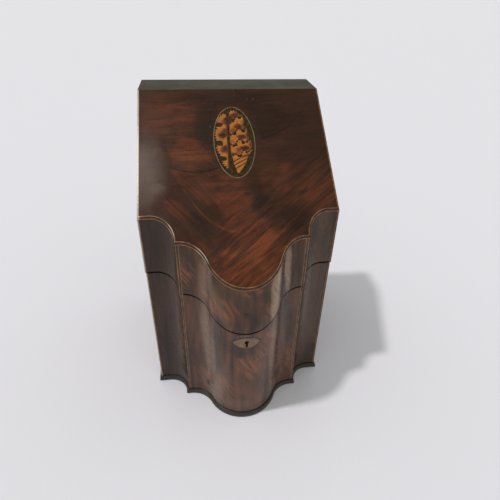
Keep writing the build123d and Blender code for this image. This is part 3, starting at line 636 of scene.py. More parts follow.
@dataclass(frozen=True)
class FlameVeneer(Mahogany):
    """The flame-figured veneer of the slope, laid out down from the crown edge."""

    def layers(self, paint: Paint) -> Layers:
        """Flames, feather streaks, hairlines and pores.

        Args:
            paint: The material's node tree.

        Returns:
            The layers.
        """
        place = paint.place()
        across, back, _ = paint.split(place)
        down = (SHAPE.crown_y - back) / math.cos(SHAPE.slope_angle)
        sheet = paint.vector(across, down)
        ragged = paint.ragged(sheet, 0.06, 4, 2.4)

        def streaks(angle: float, wide: float) -> tuple[Signal, Signal, Signal]:
            """Broad streaks, fine fibres and pores that run at an angle above the horizontal.

            Args:
                angle: The angle in degrees.
                wide: How close together the broad streaks are.

            Returns:
                The streaks, the fibres and the pores.
            """
            sine, cosine = math.sin(math.radians(angle)), math.cos(math.radians(angle))
            turned = paint.vector(across * cosine - down * sine, across * sine + down * cosine)
            broad = paint.noise(turned, (0.022, wide, 1), 4, 0.7)
            fine = paint.noise(turned, (0.05, 0.65, 1), 5)
            return broad, fine, paint.noise(turned, (0.45, 4.0, 1), 1).fit(0.60, 0.74)

        def blend(first: Signal, second: Signal, share: Signal) -> Signal:
            """One of two values, by share."""
            return first + (second - first) * share

        low = paint.blots(across, down, ragged * 0.5, LOW_FLAMES)
        left = paint.blots(across, down, ragged * 0.5, LEFT_FLAMES)
        broad, fine, pores = (
            blend(blend(level, rising, low), falling, left)
            for level, rising, falling in zip(streaks(2, 0.14), streaks(38, 0.17), streaks(-52, 0.17))
        )
        offset = across - FEATHER_TURN[0]
        feather = down - FEATHER_TURN[1] + offset * offset * FEATHER_BEND
        in_feather = abs(across + 38).fit(38, 22)
        warm = paint.blots(across, down, ragged, WARM_FLAMES)
        warm = warm * (1 - (feather.fit(-1.5, 1.5) * feather.fit(26, 6)) * in_feather * 0.8)
        # dark flame figure, and a painted reflection: the darker band along the top of the slope
        deep = paint.blots(across, down, ragged, DARK_FLAMES_AND_REFLECTION)
        swing = (broad.fit(0.36, 0.64) - 0.5) * (low * 0.08 + warm * 0.2 + 0.08)
        tone = 0.20 + warm * 0.35 - deep * 0.22 + swing + (fine - 0.5) * (low * 0.22 + 0.4)
        colour = paint.ramp(tone, FLAME_TONES)
        colour = paint.mix(pores * 0.4, colour, tint(30, 18, 15))
        lines = paint.hairlines(across, down, SLOPE_HAIRLINES)
        colour = paint.mix(lines * 0.85, colour, tint(20, 12, 11))
        glint = abs(feather + 1.6).fit(2.4, 0.4) * in_feather * fine.fit(0.3, 0.7)
        colour = paint.mix(glint * 0.2, colour, tint(160, 90, 50))
        # painted highlight: the sun's broad sheen near the slope's left edge, paler and a little rougher
        painted_sheen = paint.blots(across, down, ragged * 0.3, SLOPE_SHEEN, -0.6)
        colour = paint.mix(painted_sheen * 0.46, colour, tint(150, 134, 126))
        scratch = paint.hairlines(down, across, SLOPE_SCRATCHES)
        colour = paint.mix(scratch * 0.5, colour, tint(150, 130, 112))
        smudge = paint.noise(place, 0.035, 4, 0.4)
        roughness = smudge.fit(0.3, 0.7, self.polish - 0.05, self.polish + 0.08) + pores * 0.1 + painted_sheen * 0.08
        height = smudge * 0.6 - pores * 0.3 - lines * 1.2 - scratch
        return Layers(colour, roughness, height)


FLAME_TONES = (
    (0.0, tint(38, 21, 14)),
    (0.25, tint(60, 33, 22)),
    (0.5, tint(90, 46, 28)),
    (0.75, tint(122, 62, 33)),
    (1.0, tint(154, 86, 46)),
)
LOW_FLAMES = each(Blot, (30, 215, 110, 85), (95, 140, 60, 60))  # where the streaks rise to the right
LEFT_FLAMES = each(Blot, (-70, 168, 50, 62, 1, -12))  # where they fall to the right
WARM_FLAMES = each(
    Blot,
    (-74, 38, 42, 34, 0.55), (-52, 92, 26, 22, 0.75, 20), (-56, 114, 18, 10, 0.55), (-6, 146, 24, 34, 0.7),
    (-38, 136, 30, 18, 0.55, 30), (-66, 162, 20, 10, 0.48, 40), (48, 124, 20, 22, 0.38, -40),
    (88, 142, 30, 28, 0.36, -40), (8, 216, 52, 34, 0.85, -36), (-4, 190, 46, 22, 0.38, -36),
)
# Dark flame figure; the first patch, a wide band along the top of the slope, is a painted reflection.
DARK_FLAMES_AND_REFLECTION = each(
    Blot,
    (0, 14, 84, 12, 0.6), (-31, 52, 16, 38, 0.9), (42, 46, 30, 32, 0.8), (88, 60, 34, 60, 0.45),
    (24, 158, 12, 42, 0.72, -28), (64, 186, 34, 20, 0.45, 20), (-46, 182, 26, 12, 0.5, 50),
)
SLOPE_HAIRLINES = each(
    Hairline,
    (-45, 116, 0.0082, -78, -12, 1), (-58, 134, 0.0078, -100, -46, 0.8, 0.55), (28, 72.5, 0.0115, 22, 104, 0.95),
    (-45, 69, 0, -66, -24, 0.6, 0.6), (-10, 14, 0, -60, 40, 0.6, 0.7), (10, 20, 0.0002, -70, 70, 0.6, 0.6),
)
FEATHER_TURN = (-5, 192)  # where the feather's parabola turns
FEATHER_BEND = 0.0169
SLOPE_SCRATCHES = each(
    Hairline,
    (16, 28, 0.02, 13, 17.5, 0.35, 0.8), (16, 20, 0.03, 14, 17, 0.3, 0.6), (8, 5, 0.01, 0, 12, 0.25, 0.4),
    (55, -27, 0.02, 53, 57, 0.3, 0.6),
)
# painted highlight: the sun's broad sheen near the slope's left edge
SLOPE_SHEEN = each(Blot, (-106, 112, 26, 52, 0.8), (-95, 104, 14, 18, 0.6), (-96, 134, 18, 13, 0.7))


@dataclass(frozen=True)
class Stringing(Finish):
    """A thin line of holly or boxwood, darkened by polish, with painted glints: pale patches where the sun's
    highlight catches a rounded arris.
    """

    clean: Colour = tint(176, 134, 78)
    grubby: Colour = tint(92, 64, 40)
    polish: float = 0.35
    painted_glints: tuple[Blot, ...] = ()

    def layers(self, paint: Paint) -> Layers:
        """Uneven colour along the line, and its painted glints.

        Args:
            paint: The material's node tree.

        Returns:
            The layers.
        """
        place = paint.place()
        patch = paint.noise(place, 0.12, 4)
        fleck = paint.noise(place, 1.6, 3)
        share = patch * 0.7 + fleck * 0.5
        colour = paint.mix(share.fit(0.38, 0.80), self.grubby, self.clean)
        if self.painted_glints:
            across, back, _ = paint.split(place)
            # painted glints: pale patches that stand for the sun's highlight on the rounded arris
            rub = paint.blots(across, back, paint.ragged(place, 0.9, 3, 1.8), self.painted_glints)
            colour = paint.mix(rub, colour, tint(232, 220, 208))
        roughness = patch.fit(0.3, 0.7, self.polish - 0.06, self.polish + 0.12)
        return Layers(colour, roughness, fleck)


# Painted glints: the sun's highlight on the slope's left arris, and on the bead round the left hollow and cove.
ARRIS_GLINTS = each(Blot, (-109.9, -8, 2.4, 52, 0.95), (-109.9, 5, 2.4, 120, 0.5))
CORNER_GLINTS = each(Blot, (-44, -102, 7, 12, 0.5), (-75, -76, 4, 12, 0.5))


@dataclass(frozen=True)
class Satinwood(Finish):
    """Satinwood cut for the shell, scorched in hot sand for its shading."""

    def layers(self, paint: Paint) -> Layers:
        """Pale wood with scorched blots.

        Args:
            paint: The material's node tree.

        Returns:
            The layers.
        """
        place = paint.place()
        across, back, _ = paint.split(place)
        rise = PATERA_DOWN - (SHAPE.crown_y - back) / math.cos(SHAPE.slope_angle)
        scorch = paint.blots(across, rise, paint.ragged(place, 0.22, 3, 1.4), SHELL_SCORCHES, -0.4)
        stem = abs(across + 6.6 - rise * 0.03).fit(4.2, 0.0) * 0.9
        grain = paint.noise(place, (2.4, 0.25, 0.25))
        colour = paint.mix(grain.fit(0.3, 0.7), tint(146, 84, 34), tint(184, 116, 50))
        shade = scorch.over(stem)
        colour = paint.mix(shade.fit(0.0, 0.7) * 0.85, colour, tint(124, 62, 36))
        colour = paint.mix(shade.fit(0.25, 1.0), colour, tint(40, 21, 17))
        roughness = grain.fit(0.3, 0.7, 0.30, 0.42)
        return Layers(colour, roughness, grain)


PATERA_DOWN = 76.0  # crown edge to the middle of the oval, along the slope
SHELL_SCORCHES = each(
    Blot,
    (-12.5, 9.5, 7.4, 7), (-8, 14, 6.5, 6.5, 0.8, 40), (-11.5, -11, 6.4, 6.6, 0.95), (-5.5, 30, 10.5, 6, 1, 38),
    (3.5, 36.6, 9, 5, 0.85, 30), (6.6, 20.4, 6.8, 4.6), (12.4, 21, 3.8, 10, 0.75), (-0.6, 14.6, 5, 5.4, 0.7),
    (9.4, 5.4, 7.4, 4.4), (16, 6.5, 3.6, 10, 0.75), (11.6, -9.8, 7.8, 4.4), (18.8, -5, 3.4, 8, 0.7),
    (4.6, -13, 5, 6, 0.65), (-2.4, -1, 4.6, 4, 0.45), (-3, -17, 4.6, 3.4, 0.5), (11, -21, 8, 2.6, 0.5, 24),
)


@dataclass(frozen=True)
class Ground(Finish):
    """The green-stained veneer behind the shell."""

    dark: Colour = tint(34, 26, 11)
    light: Colour = tint(60, 46, 21)

    def layers(self, paint: Paint) -> Layers:
        """Mottled dark green-brown.

        Args:
            paint: The material's node tree.

        Returns:
            The layers.
        """
        place = paint.place()
        patch = paint.noise(place, 0.25, 4)
        grain = paint.noise(place, (2.0, 0.3, 0.3))
        colour = paint.mix((patch * 0.6 + grain * 0.4).fit(0.35, 0.65), self.dark, self.light)
        return Layers(colour, patch.fit(0.3, 0.7, 0.34, 0.5), grain)


@dataclass(frozen=True)
class Metal(Finish):
    """Aged metal with a skin of tarnish and fine rubbing."""

    metallic: float = 1.0
    relief: float = 0.03
    bright: Colour = tint(196, 158, 92)
    dull: Colour = tint(104, 82, 50)
    rub: float = 0.3

    def layers(self, paint: Paint) -> Layers:
        """Tarnish in patches and fine scratches.

        Args:
            paint: The material's node tree.

        Returns:
            The layers.
        """
        place = paint.place()
        patch = paint.noise(place, 0.16, 5, 0.4)
        speck = paint.noise(place, 1.8, 3)
        scratch = paint.noise(place, (0.25, 3.5, 3.5), 2)
        share = (patch * 0.6 + speck * 0.4).fit(0.32, 0.62)
        colour = paint.mix(share, self.dull, self.bright)
        roughness = share.fit(0.0, 1.0, self.rub + 0.22, self.rub) + scratch.fit(0.4, 0.7, 0.0, 0.1)
        return Layers(colour, roughness, scratch * 0.5 + speck * 0.5)


# Dark patches on the case front: stains, and scuffs round the escutcheon; the two streaks in the right hollow near x
# 45 are painted reflections of the floor's shadow, and the drop low in the left hollow and the band along the foot
# just darken the veneer there.
FRONT_STAINS_AND_REFLECTIONS = each(
    Blot,
    (-9, 120, 11, 9, 0.55), (-4, 128, 28, 15, 0.42), (61, 98, 6, 11, 0.7), (62, 112, 9, 40, 0.62),
    (-8, 30, 26, 18, 0.2), (-45, 31, 2.8, 7.5, 0.95), (47, 38, 3.6, 15, 0.6), (43, 92, 3, 44, 0.45),
    (20, 60, 18, 26, 0.30, 30), (0, 12, 90, 9, 0.35),
)
FRONT_FLAMES = each(
    Blot,
    (5, 92, 16, 24, 1, 20), (-34, 44, 30, 24, 0.6, 30), (26, 124, 16, 22, 0.7), (66, 60, 10, 30, 0.8),
)
LID_STAINS = each(
    Blot,
    (-1, 180, 7, 6, 0.7), (-1, 180.5, 2.8, 2.8), (-6, 196, 10, 16, 0.5, 25), (8, 168, 6, 12, 0.55, 25),
    (16, 200, 12, 8, 0.4), (-60, 226, 8, 16, 0.3),
)
LID_FLAMES = each(
    Blot,
    (-28, 182, 20, 16, 0.7), (4, 208, 12, 5, 0.7), (-66, 205, 12, 22, 0.8), (30, 176, 14, 16, 0.7),
)
# Pale bands on the lid front: painted reflections of the bright floor, partly faded veneer.
LID_FADE_AND_SHEEN = each(
    Blot,
    (33, 196, 7, 48), (49, 214, 4.5, 44, 0.8, 3), (-44, 206, 7, 40, 0.3, -6), (-30, 186, 6, 30, 0.18, 14),
)
# Pale bands on the case front: painted reflections of the bright floor, partly faded veneer.
FRONT_FADE_AND_SHEEN = each(
    Blot,
    (-43, 112, 6.5, 80, 0.65, 3), (-33, 40, 9, 50, 0.35, -8), (35, 106, 5, 66, 0.6), (40, 40, 5, 44, 0.35, 4),
    (-12, 22, 22, 12, 0.3),
)
FRONT_CRACKS = each(Hairline, (80, -12, 0.00004, 42, 118, 0.3, 0.7), (78, -20, 0.0001, 60, 96, 0.25, 0.5))
COVE_STAINS = each(Blot, (-104, 240, 14, 46, 0.6))
# Pale bands on the coves: painted reflections, partly faded veneer.
COVE_FADE_AND_SHEEN = each(Blot, (94, 150, 16, 130, 0.22), (-76, 120, 4, 90, 0.2))


class Finishes:
    """The box's finishes, by the place that they are used in."""

    slope = FlameVeneer("slope_veneer", gloss=0.28, relief=0.08, polish=0.24)
    # the crown's olive-green tint is partly a painted reflection of a green-grey wall at a grazing angle; the dark
    # brown under it is the veneer's own
    crown = Mahogany(
        "crown", gloss=0.1, grain=Axis.X, dark=tint(40, 37, 17), light=tint(60, 53, 28), figure=0.25, polish=0.5
    )
    case_front = FrontVeneer(
        "case_front", gloss=0.4, dark=tint(50, 30, 24), light=tint(108, 70, 46), figure=0.8, polish=0.26,
        dark_patches=FRONT_STAINS_AND_REFLECTIONS, flames=FRONT_FLAMES, fade_and_sheen=FRONT_FADE_AND_SHEEN, cracks=FRONT_CRACKS,
    )
    lid_front = FrontVeneer(
        "lid_front", gloss=0.4, dark=tint(40, 25, 18), light=tint(101, 65, 43), figure=0.8, polish=0.26,
        dark_patches=LID_STAINS, flames=LID_FLAMES, fade_and_sheen=LID_FADE_AND_SHEEN, fade_and_sheen_colour=tint(150, 124, 104),
    )
    cove = FrontVeneer(
        "cove", gloss=0.34, dark=tint(36, 24, 17), light=tint(76, 51, 37), figure=0.65, polish=0.26,
        dark_patches=COVE_STAINS, fade_and_sheen=COVE_FADE_AND_SHEEN,
    )
    side = Mahogany("side", dark=tint(50, 28, 24), light=tint(104, 60, 42), figure=0.7, polish=0.28)
    carcase = Mahogany(
        "carcase", gloss=0.25, grain=Axis.X, dark=tint(92, 62, 42), light=tint(146, 104, 70), polish=0.6
    )
    upright = Mahogany("carcase_upright", gloss=0.25, dark=tint(88, 58, 40), light=tint(140, 98, 66), polish=0.6)
    back = Mahogany("back", gloss=0.3, dark=tint(60, 38, 30), light=tint(104, 68, 48), figure=0.8, polish=0.48)
    moulding = Mahogany(
        "moulding", gloss=0.4, grain=Axis.X, dark=tint(26, 24, 20), light=tint(60, 54, 44), figure=0.5, polish=0.36
    )
    line = Stringing("boxwood_line", clean=tint(150, 112, 66), grubby=tint(80, 56, 36))
    slope_line = Stringing(
        "slope_line", clean=tint(150, 112, 66), grubby=tint(80, 56, 36), painted_glints=ARRIS_GLINTS + CORNER_GLINTS
    )
    bead = Stringing(
        "dark_bead", gloss=0.3, clean=tint(74, 42, 29), grubby=tint(38, 21, 15), polish=0.2, painted_glints=ARRIS_GLINTS
    )
    dark_line = Stringing("dark_line", clean=tint(48, 30, 22), grubby=tint(28, 18, 14), polish=0.3)
    slot_line = Stringing("slot_line", clean=tint(206, 172, 116), grubby=tint(146, 112, 70), polish=0.4)
    oval_line = Stringing("oval_line", clean=tint(140, 112, 84), grubby=tint(96, 72, 54))
    satinwood = Satinwood("satinwood", gloss=0.3, relief=0.05)
    ground = Ground("patera_ground", gloss=0.16, relief=0.05)
    bone = Stringing("escutcheon", clean=tint(134, 102, 72), grubby=tint(78, 58, 40), polish=0.36, relief=0.1)
    border = Stringing("escutcheon_border", clean=tint(52, 44, 34), grubby=tint(26, 22, 17), polish=0.3)
    rack = Mahogany("rack", gloss=0.4, grain=Axis.X, dark=tint(66, 36, 28), light=tint(116, 70, 48), polish=0.4)
    brass = Metal("hinge_brass")
    lock_brass = Metal("lock_brass", bright=tint(190, 156, 98), rub=0.34)
    screw_brass = Metal("screw_brass", bright=tint(178, 140, 80), rub=0.36)
    steel = Metal("lock_steel", bright=tint(150, 146, 140), dull=tint(84, 74, 66), rub=0.34)


# Making pieces

SHARP = math.radians(28)  # an arris at least this sharp can be rubbed down
CREASE = math.radians(42)  # rounded faces that meet at less than this shade as one
COPLANAR = math.radians(0.2)
WELD = 0.002  # points this near each other, in millimetres, are one
SEAM_REACH = 0.6  # an edge this near the seam, in millimetres, is at it, and so on
BACK_REACH = 0.1
CROWN_REACH = 0.3
OUTER_REACH = 1.4  # a face this near the outline, in millimetres, is on the outside
LEVEL = 0.8  # a normal's upward part in a face that isn't a wall's


def dress(node: str, finish: Finish) -> bpy.types.Object:
    """Gives a frame node its finish and leaves its mesh alone.

    Args:
        node: The node.
        finish: Its finish.

    Returns:
        The node's object.
    """
    piece = frame["nodes"][node]
    for slot in piece.material_slots:
        slot.material = finish.material()
    return piece


def put(name: str, data: bpy.types.ID) -> bpy.types.Object:
    """Puts a new object in the scene.

    Args:
        name: Its name.
        data: Its mesh, light or camera.

    Returns:
        The object.
    """
    made = bpy.data.objects.new(name, data)
    bpy.context.scene.collection.objects.link(made)
    return made


def new_piece(name: str, mesh: bpy.types.Mesh, nodes: Sequence[str], like: str = "") -> bpy.types.Object:
    """Puts a finished mesh in the scene as a piece of the object.

    Args:
        name: The piece's name.
        mesh: Its mesh, in place.
        nodes: The frame nodes that it stands for.
        like: The node whose body it takes, or nothing for the first of nodes.

    Returns:
        The piece.
    """
    source = frame["nodes"][like or nodes[0]]
    piece = put(name, mesh)
    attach(piece, source["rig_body"])
    if nodes:
        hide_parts(*nodes)
    return piece


def baked(name: str, mesh: bpy.types.Mesh, add: Callable[[bpy.types.Object], None]) -> bpy.types.Mesh:
    """Runs modifiers on a mesh.

    Args:
        name: The new mesh's name.
        mesh: The mesh, which is used up.
        add: Puts the modifiers on an object that holds it.

    Returns:
        The finished mesh.
    """
    holder = put(name, mesh)
    add(holder)
    graph = bpy.context.evaluated_depsgraph_get()
    result = holder.evaluated_get(graph)
    finished = bpy.data.meshes.new_from_object(result, preserve_all_data_layers=True, depsgraph=graph)
    bpy.data.objects.remove(holder)
    bpy.data.meshes.remove(mesh)
    finished.name = name
    return finished


def smoothed(
    name: str, work: bmesh.types.BMesh, finishes: Sequence[Finish], nodes: Sequence[str], like: str = ""
) -> bpy.types.Object:
    """Makes a piece of worked geometry, whose flats stay flat and whose rounded arrises catch the light.

    Args:
        name: The piece's name.
        work: The geometry, which is freed.
        finishes: Its finishes, by material index.
        nodes: The frame nodes that it stands for.
        like: The node whose body it takes, or nothing for the first of nodes.

    Returns:
        The piece.
    """
    for face in work.faces:
        face.smooth = True
    mesh = bpy.data.meshes.new(name + "_work")
    work.to_mesh(mesh)
    work.free()
    for finish in finishes:
        mesh.materials.append(finish.material())
    mesh.set_sharp_from_angle(angle=CREASE)

    def weigh(holder: bpy.types.Object) -> None:
        """Adds the modifier."""
        holder.modifiers.new("normals", "WEIGHTED_NORMAL").keep_sharp = True

    return new_piece(name, baked(name, mesh, weigh), nodes, like)


def box_of(points: Iterable[Vector]) -> tuple[Vector, Vector]:
    """The lowest and highest corners of some points."""
    spots = list(points)
    return Vector(map(min, zip(*spots))), Vector(map(max, zip(*spots)))


def near_seam(spot: Vector) -> bool:
    """Whether a point in metres is at the seam."""
    return abs(spot.z / MM - SHAPE.seam_z(spot.y / MM)) < SEAM_REACH


def at_back_arris(spot: Vector) -> bool:
    """Whether a point in metres is at the seam or on the upright arris at the back."""
    return near_seam(spot) or abs(spot.y / MM - SHAPE.back_y) < BACK_REACH


def at_crown_arris(spot: Vector) -> bool:
    """Whether a point in metres is on the crown's upper arrises."""
    return spot.z / MM > SHAPE.height - CROWN_REACH


def anywhere(spot: Vector) -> bool:
    """Every point."""
    return True


def outline_tree(spacing: float = 0.25) -> KDTree:
    """Points along the case's outline, ready to be searched.

    Args:
        spacing: How far apart they are.

    Returns:
        The tree.
    """
    corners = SHAPE.ring(0)
    line = [
        (ax + (bx - ax) * n / count, ay + (by - ay) * n / count)
        for (ax, ay), (bx, by) in zip(corners, corners[1:] + corners[:1])
        for count in [max(1, int(math.dist((ax, ay), (bx, by)) / spacing))]
        for n in range(count)
    ]
    tree = KDTree(len(line))
    for number, (x, y) in enumerate(line):
        tree.insert((x, y, 0), number)
    tree.balance()
    return tree


OUTLINE = outline_tree()


def mark_outside(work: bmesh.types.BMesh) -> None:
    """Gives every face that isn't on the outside of the walls the second material.

    Args:
        work: The geometry of a wall.
    """
    for face in work.faces:
        centre = face.calc_center_median() / MM
        away = OUTLINE.find((centre.x, centre.y, 0))[2]
        face.material_index = int(away > OUTER_REACH or abs(face.normal.z) > LEVEL)


@dataclass(frozen=True)
class Easing:
    """Rubs down chosen arrises of a solid of the frame, as use and wax have."""

    radius: float = 0.3
    steps: int = 3
    wanted: Callable[[Vector], bool] = anywhere

    def piece(self, node: str, finish: Finish, hidden: Finish | None = None) -> bpy.types.Object:
        """Makes a rubbed-down copy of a node that stands for it.

        Args:
            node: The node.
            finish: The finish of its outside.
            hidden: The finish of the faces inside the walls, where that differs.

        Returns:
            The piece, or the node itself where its arrises can't be rounded.
        """
        work = bmesh.new()
        work.from_mesh(frame["nodes"][node].data)
        bmesh.ops.remove_doubles(work, verts=work.verts, dist=WELD * MM)
        bmesh.ops.dissolve_limit(work, angle_limit=COPLANAR, verts=work.verts, edges=work.edges)
        volume = work.calc_volume()
        lowest, highest = box_of(vertex.co for vertex in work.verts)
        arrises = [
            edge
            for edge in work.edges
            if len(edge.link_faces) == 2
            and edge.is_convex
            and edge.calc_face_angle() > SHARP
            and self.wanted((edge.verts[0].co + edge.verts[1].co) / 2)
        ]
        bmesh.ops.bevel(
            work, geom=arrises, offset=self.radius * MM, offset_type="OFFSET", segments=self.steps, profile=0.5,
            affect="EDGES", clamp_overlap=True,
        )
        low, high = box_of(vertex.co for vertex in work.verts)
        grew = max(max(lowest - low), max(high - highest)) > 0.01 * MM
        if grew or not 0.9 < work.calc_volume() / volume < 1.001:
            LOG.info("%s: arrises left square", node)
            work.free()
            return dress(node, finish)
        work.normal_update()
        if hidden:
            mark_outside(work)
        finishes = [finish, hidden] if hidden else [finish]
        return smoothed(f"{node}_finished", work, finishes, [node])


def skinned(solids: Iterable[Sequence[Sequence[Vector]]]) -> bmesh.types.BMesh:
    """Makes closed solids, each a section carried along lines with a cap on both ends.

    Args:
        solids: For each solid, one line of points in metres for every point of its section.

    Returns:
        The geometry, with its faces turned outwards.
    """
    work = bmesh.new()
    for lines in solids:
        rows = [[work.verts.new(point) for point in line] for line in lines]
        for row, beside in zip(rows, rows[1:] + rows[:1]):
            for n in range(len(row) - 1):
                work.faces.new((row[n], row[n + 1], beside[n + 1], beside[n]))
        for end in (0, -1):
            work.faces.new([row[end] for row in rows])
    bmesh.ops.recalc_face_normals(work, faces=work.faces)
    return work


# Geometry Nodes


class Pattern(Graph):
    """A Geometry Nodes tree that sets out a repeated part, with named sizes."""

    def __init__(self, name: str, sizes: dict[str, float]) -> None:
        """Opens the tree.

        Args:
            name: The tree's name.
            sizes: Its inputs and their values, in millimetres.
        """
        super().__init__(bpy.data.node_groups.new(name, "GeometryNodeTree"))
        face = self.tree.interface
        face.new_socket("Geometry", in_out="INPUT", socket_type="NodeSocketGeometry")
        face.new_socket("Geometry", in_out="OUTPUT", socket_type="NodeSocketGeometry")
        self.sizes = {
            face.new_socket(size, in_out="INPUT", socket_type="NodeSocketFloat").identifier: value * MM
            for size, value in sizes.items()
        }
        self.entry = self.tree.nodes.new("NodeGroupInput")

    def size(self, name: str) -> Signal:
        """One of the tree's inputs."""
        return Signal(self, self.entry.outputs[name])

    def joined(self, *parts: Signal) -> Signal:
        """Several geometries as one.

        Args:
            parts: The geometries.

        Returns:
            All of them.
        """
        made = self.tree.nodes.new("GeometryNodeJoinGeometry")
        for part in parts:
            self.tree.links.new(part.socket, made.inputs[0])
        return Signal(self, made.outputs[0])

    def close(self, part: Signal, spun: bool = False) -> None:
        """Ends the tree: sets a part on its points, as plain geometry, facing the way that each point says.

        Args:
            part: The part, which faces up.
            spun: Whether each one is turned about its own axis by chance.
        """
        facing = self.node("GeometryNodeInputNamedAttribute", {"data_type": "FLOAT_VECTOR"}, {"Name": "facing"})
        turn = self.node("FunctionNodeAlignRotationToVector", {"axis": "Z"}, {"Vector": facing})
        if spun:
            limits = {2: 0.0, 3: math.pi, "Seed": 7}
            chance = self.node("FunctionNodeRandomValue", {"data_type": "FLOAT"}, limits, output=1)
            spin = self.node("FunctionNodeAxisAngleToRotation", inputs={"Axis": (0, 0, 1), "Angle": chance})
            turn = self.node("FunctionNodeRotateRotation", {"rotation_space": "LOCAL"}, {0: turn, 1: spin})
        points = Signal(self, self.entry.outputs["Geometry"])
        inputs = {"Points": points, "Instance": part, "Rotation": turn}
        instances = self.node("GeometryNodeInstanceOnPoints", inputs=inputs)
        real = self.node("GeometryNodeRealizeInstances", inputs={0: instances})
        made = self.node("GeometryNodeSetMaterial", inputs={"Geometry": real})
        self.tree.links.new(made.socket, self.tree.nodes.new("NodeGroupOutput").inputs[0])

    def grow(self, name: str, places: Sequence[Vector], facings: Sequence[Vector], finish: Finish) -> bpy.types.Mesh:
        """Sets the pattern out on points.

        Args:
            name: The new mesh's name.
            places: Where each part goes, in metres.
            facings: The way that each part faces.
            finish: The finish.

        Returns:
            The mesh.
        """
        self.tree.nodes["Set Material"].inputs["Material"].default_value = finish.material()
        base = bpy.data.meshes.new(name + "_points")
        base.from_pydata(places, [], [])
        base.materials.append(finish.material())
        facing = base.attributes.new("facing", "FLOAT_VECTOR", "POINT")
        for number, direction in enumerate(facings):
            facing.data[number].vector = direction

        def plant(holder: bpy.types.Object) -> None:
            """Adds the tree with its sizes.

            Args:
                holder: The object with the points.
            """
            modifier = holder.modifiers.new("pattern", "NODES")
            modifier.node_group = self.tree
            for identifier, value in self.sizes.items():
                modifier[identifier] = value

        mesh = baked(name, base, plant)
        for polygon in mesh.polygons:
            polygon.use_smooth = True
        mesh.set_sharp_from_angle(angle=SHARP)
        return mesh


# Walls and veneers


class Carcase:
    """The walls of the case and the lid, and the veneers on the lid."""

    seam_easing = Easing(0.35, 3, near_seam)
    arris_easing = Easing(0.35, 3, at_back_arris)

    def build(self) -> None:
        """Finishes every wall and veneer."""
        finishes = {
            "case_front": (Finishes.case_front, Finishes.upright),
            "lid_front": (Finishes.lid_front, Finishes.upright),
            "case_back": (Finishes.back, Finishes.carcase),
            "lid_back": (Finishes.back, Finishes.carcase),
        }
        for body in ("case", "lid"):
            for hand in ("left", "right"):
                finishes[f"{body}_cove_{hand}"] = (Finishes.cove, Finishes.upright)
                finishes[f"{body}_side_{hand}"] = (Finishes.side, Finishes.carcase)
        for node, (outer, hidden) in finishes.items():
            easing = self.arris_easing if "side" in node else self.seam_easing
            easing.piece(node, outer, hidden)
        Easing(0.45, 3, at_crown_arris).piece("crown_veneer", Finishes.crown)
        dress("slope_veneer", Finishes.slope)
        for node in ("lid_crown_board", "lid_slope_board", "case_bottom"):
            dress(node, Finishes.carcase)


@dataclass
class Stringings:
    """The dark beads and pale lines round the slope and down the corners."""

    bead: float = 1.1
    bead_steps: int = 7
    dark: Point = (1.9, 3.1)
    pale: Point = (3.1, 3.9)
    proud: float = 0.05
    depth: float = 0.3
    seam_gap: float = 0.25
    below_slope: float = 3.0
    above_floor: float = 7.4

    def build(self) -> None:
        """Rounds the beads, and leaves the lines flush."""
        smoothed("slope_edge_bead_rounded", self.rounded_bead(), [Finishes.bead], ["slope_edge_bead"])
        for node in ("lid_corner_beads", "case_corner_beads"):
            Easing(0.38, 3).piece(node, Finishes.bead)
        dress("slope_edge_line", Finishes.slope_line)
        for node in ("lid_corner_lines", "case_corner_lines"):
            dress(node, Finishes.line)
        for body in ("case", "lid"):
            for name, inset, finish in (("dark", self.dark, Finishes.dark_line), ("pale", self.pale, Finishes.line)):
                like = f"{body}_corner_{'lines' if name == 'pale' else 'beads'}"
                smoothed(f"{body}_{name}_stringing", self.strips(body == "lid", *inset), [finish], [], like)

    def rounded_bead(self) -> bmesh.types.BMesh:
        """The bead round the slope, worn to a quarter round.

        Returns:
            The geometry.
        """
        turns = [math.pi / 2 * n / self.bead_steps for n in range(self.bead_steps + 1)]
        inner, depth = SHAPE.lid_proud - self.bead, self.bead / math.cos(SHAPE.slope_angle)
        profile = [(inner + self.bead * math.sin(turn), -0.9 * depth * (1 - math.cos(turn))) for turn in turns]
        lines = []
        for grow, lift in [*profile, (SHAPE.lid_proud, -depth), (inner, -depth)]:
            ring = SHAPE.ring(grow)
            ring[0], ring[-1] = ((x, SHAPE.crown_y) for x, _ in (ring[0], ring[-1]))
            lines.append([Vector((x, y, SHAPE.slope_z(y) + lift)) * MM for x, y in ring])
        return skinned([lines])

    def strips(self, lid: bool, start: float, end: float) -> bmesh.types.BMesh:
        """Makes the two upright strips beside the inner corners.

        Args:
            lid: Whether they are the lid's, or the case's.
            start: How far from the corner they begin.
            end: How far from the corner they end.

        Returns:
            The geometry.
        """
        sunk, middle = -self.depth, (start + end) / 2
        solids = []
        for side in SIDES:
            lines = []
            for across, grow in ((start, sunk), (end, sunk), (end, 0.0), (middle, self.proud), (start, 0.0)):
                x = SHAPE.inner_x - across
                y = SHAPE.front_y_at(x) - grow - (SHAPE.lid_proud if lid else 0.0)
                ends = (self.above_floor, SHAPE.seam_z(y) - self.seam_gap)
                if lid:
                    ends = (SHAPE.seam_z(y) + self.seam_gap, SHAPE.slope_z(y) - self.below_slope)
                lines.append([Vector((side * x, y, z)) * MM for z in ends])
            solids.append(lines)
        return skinned(solids)


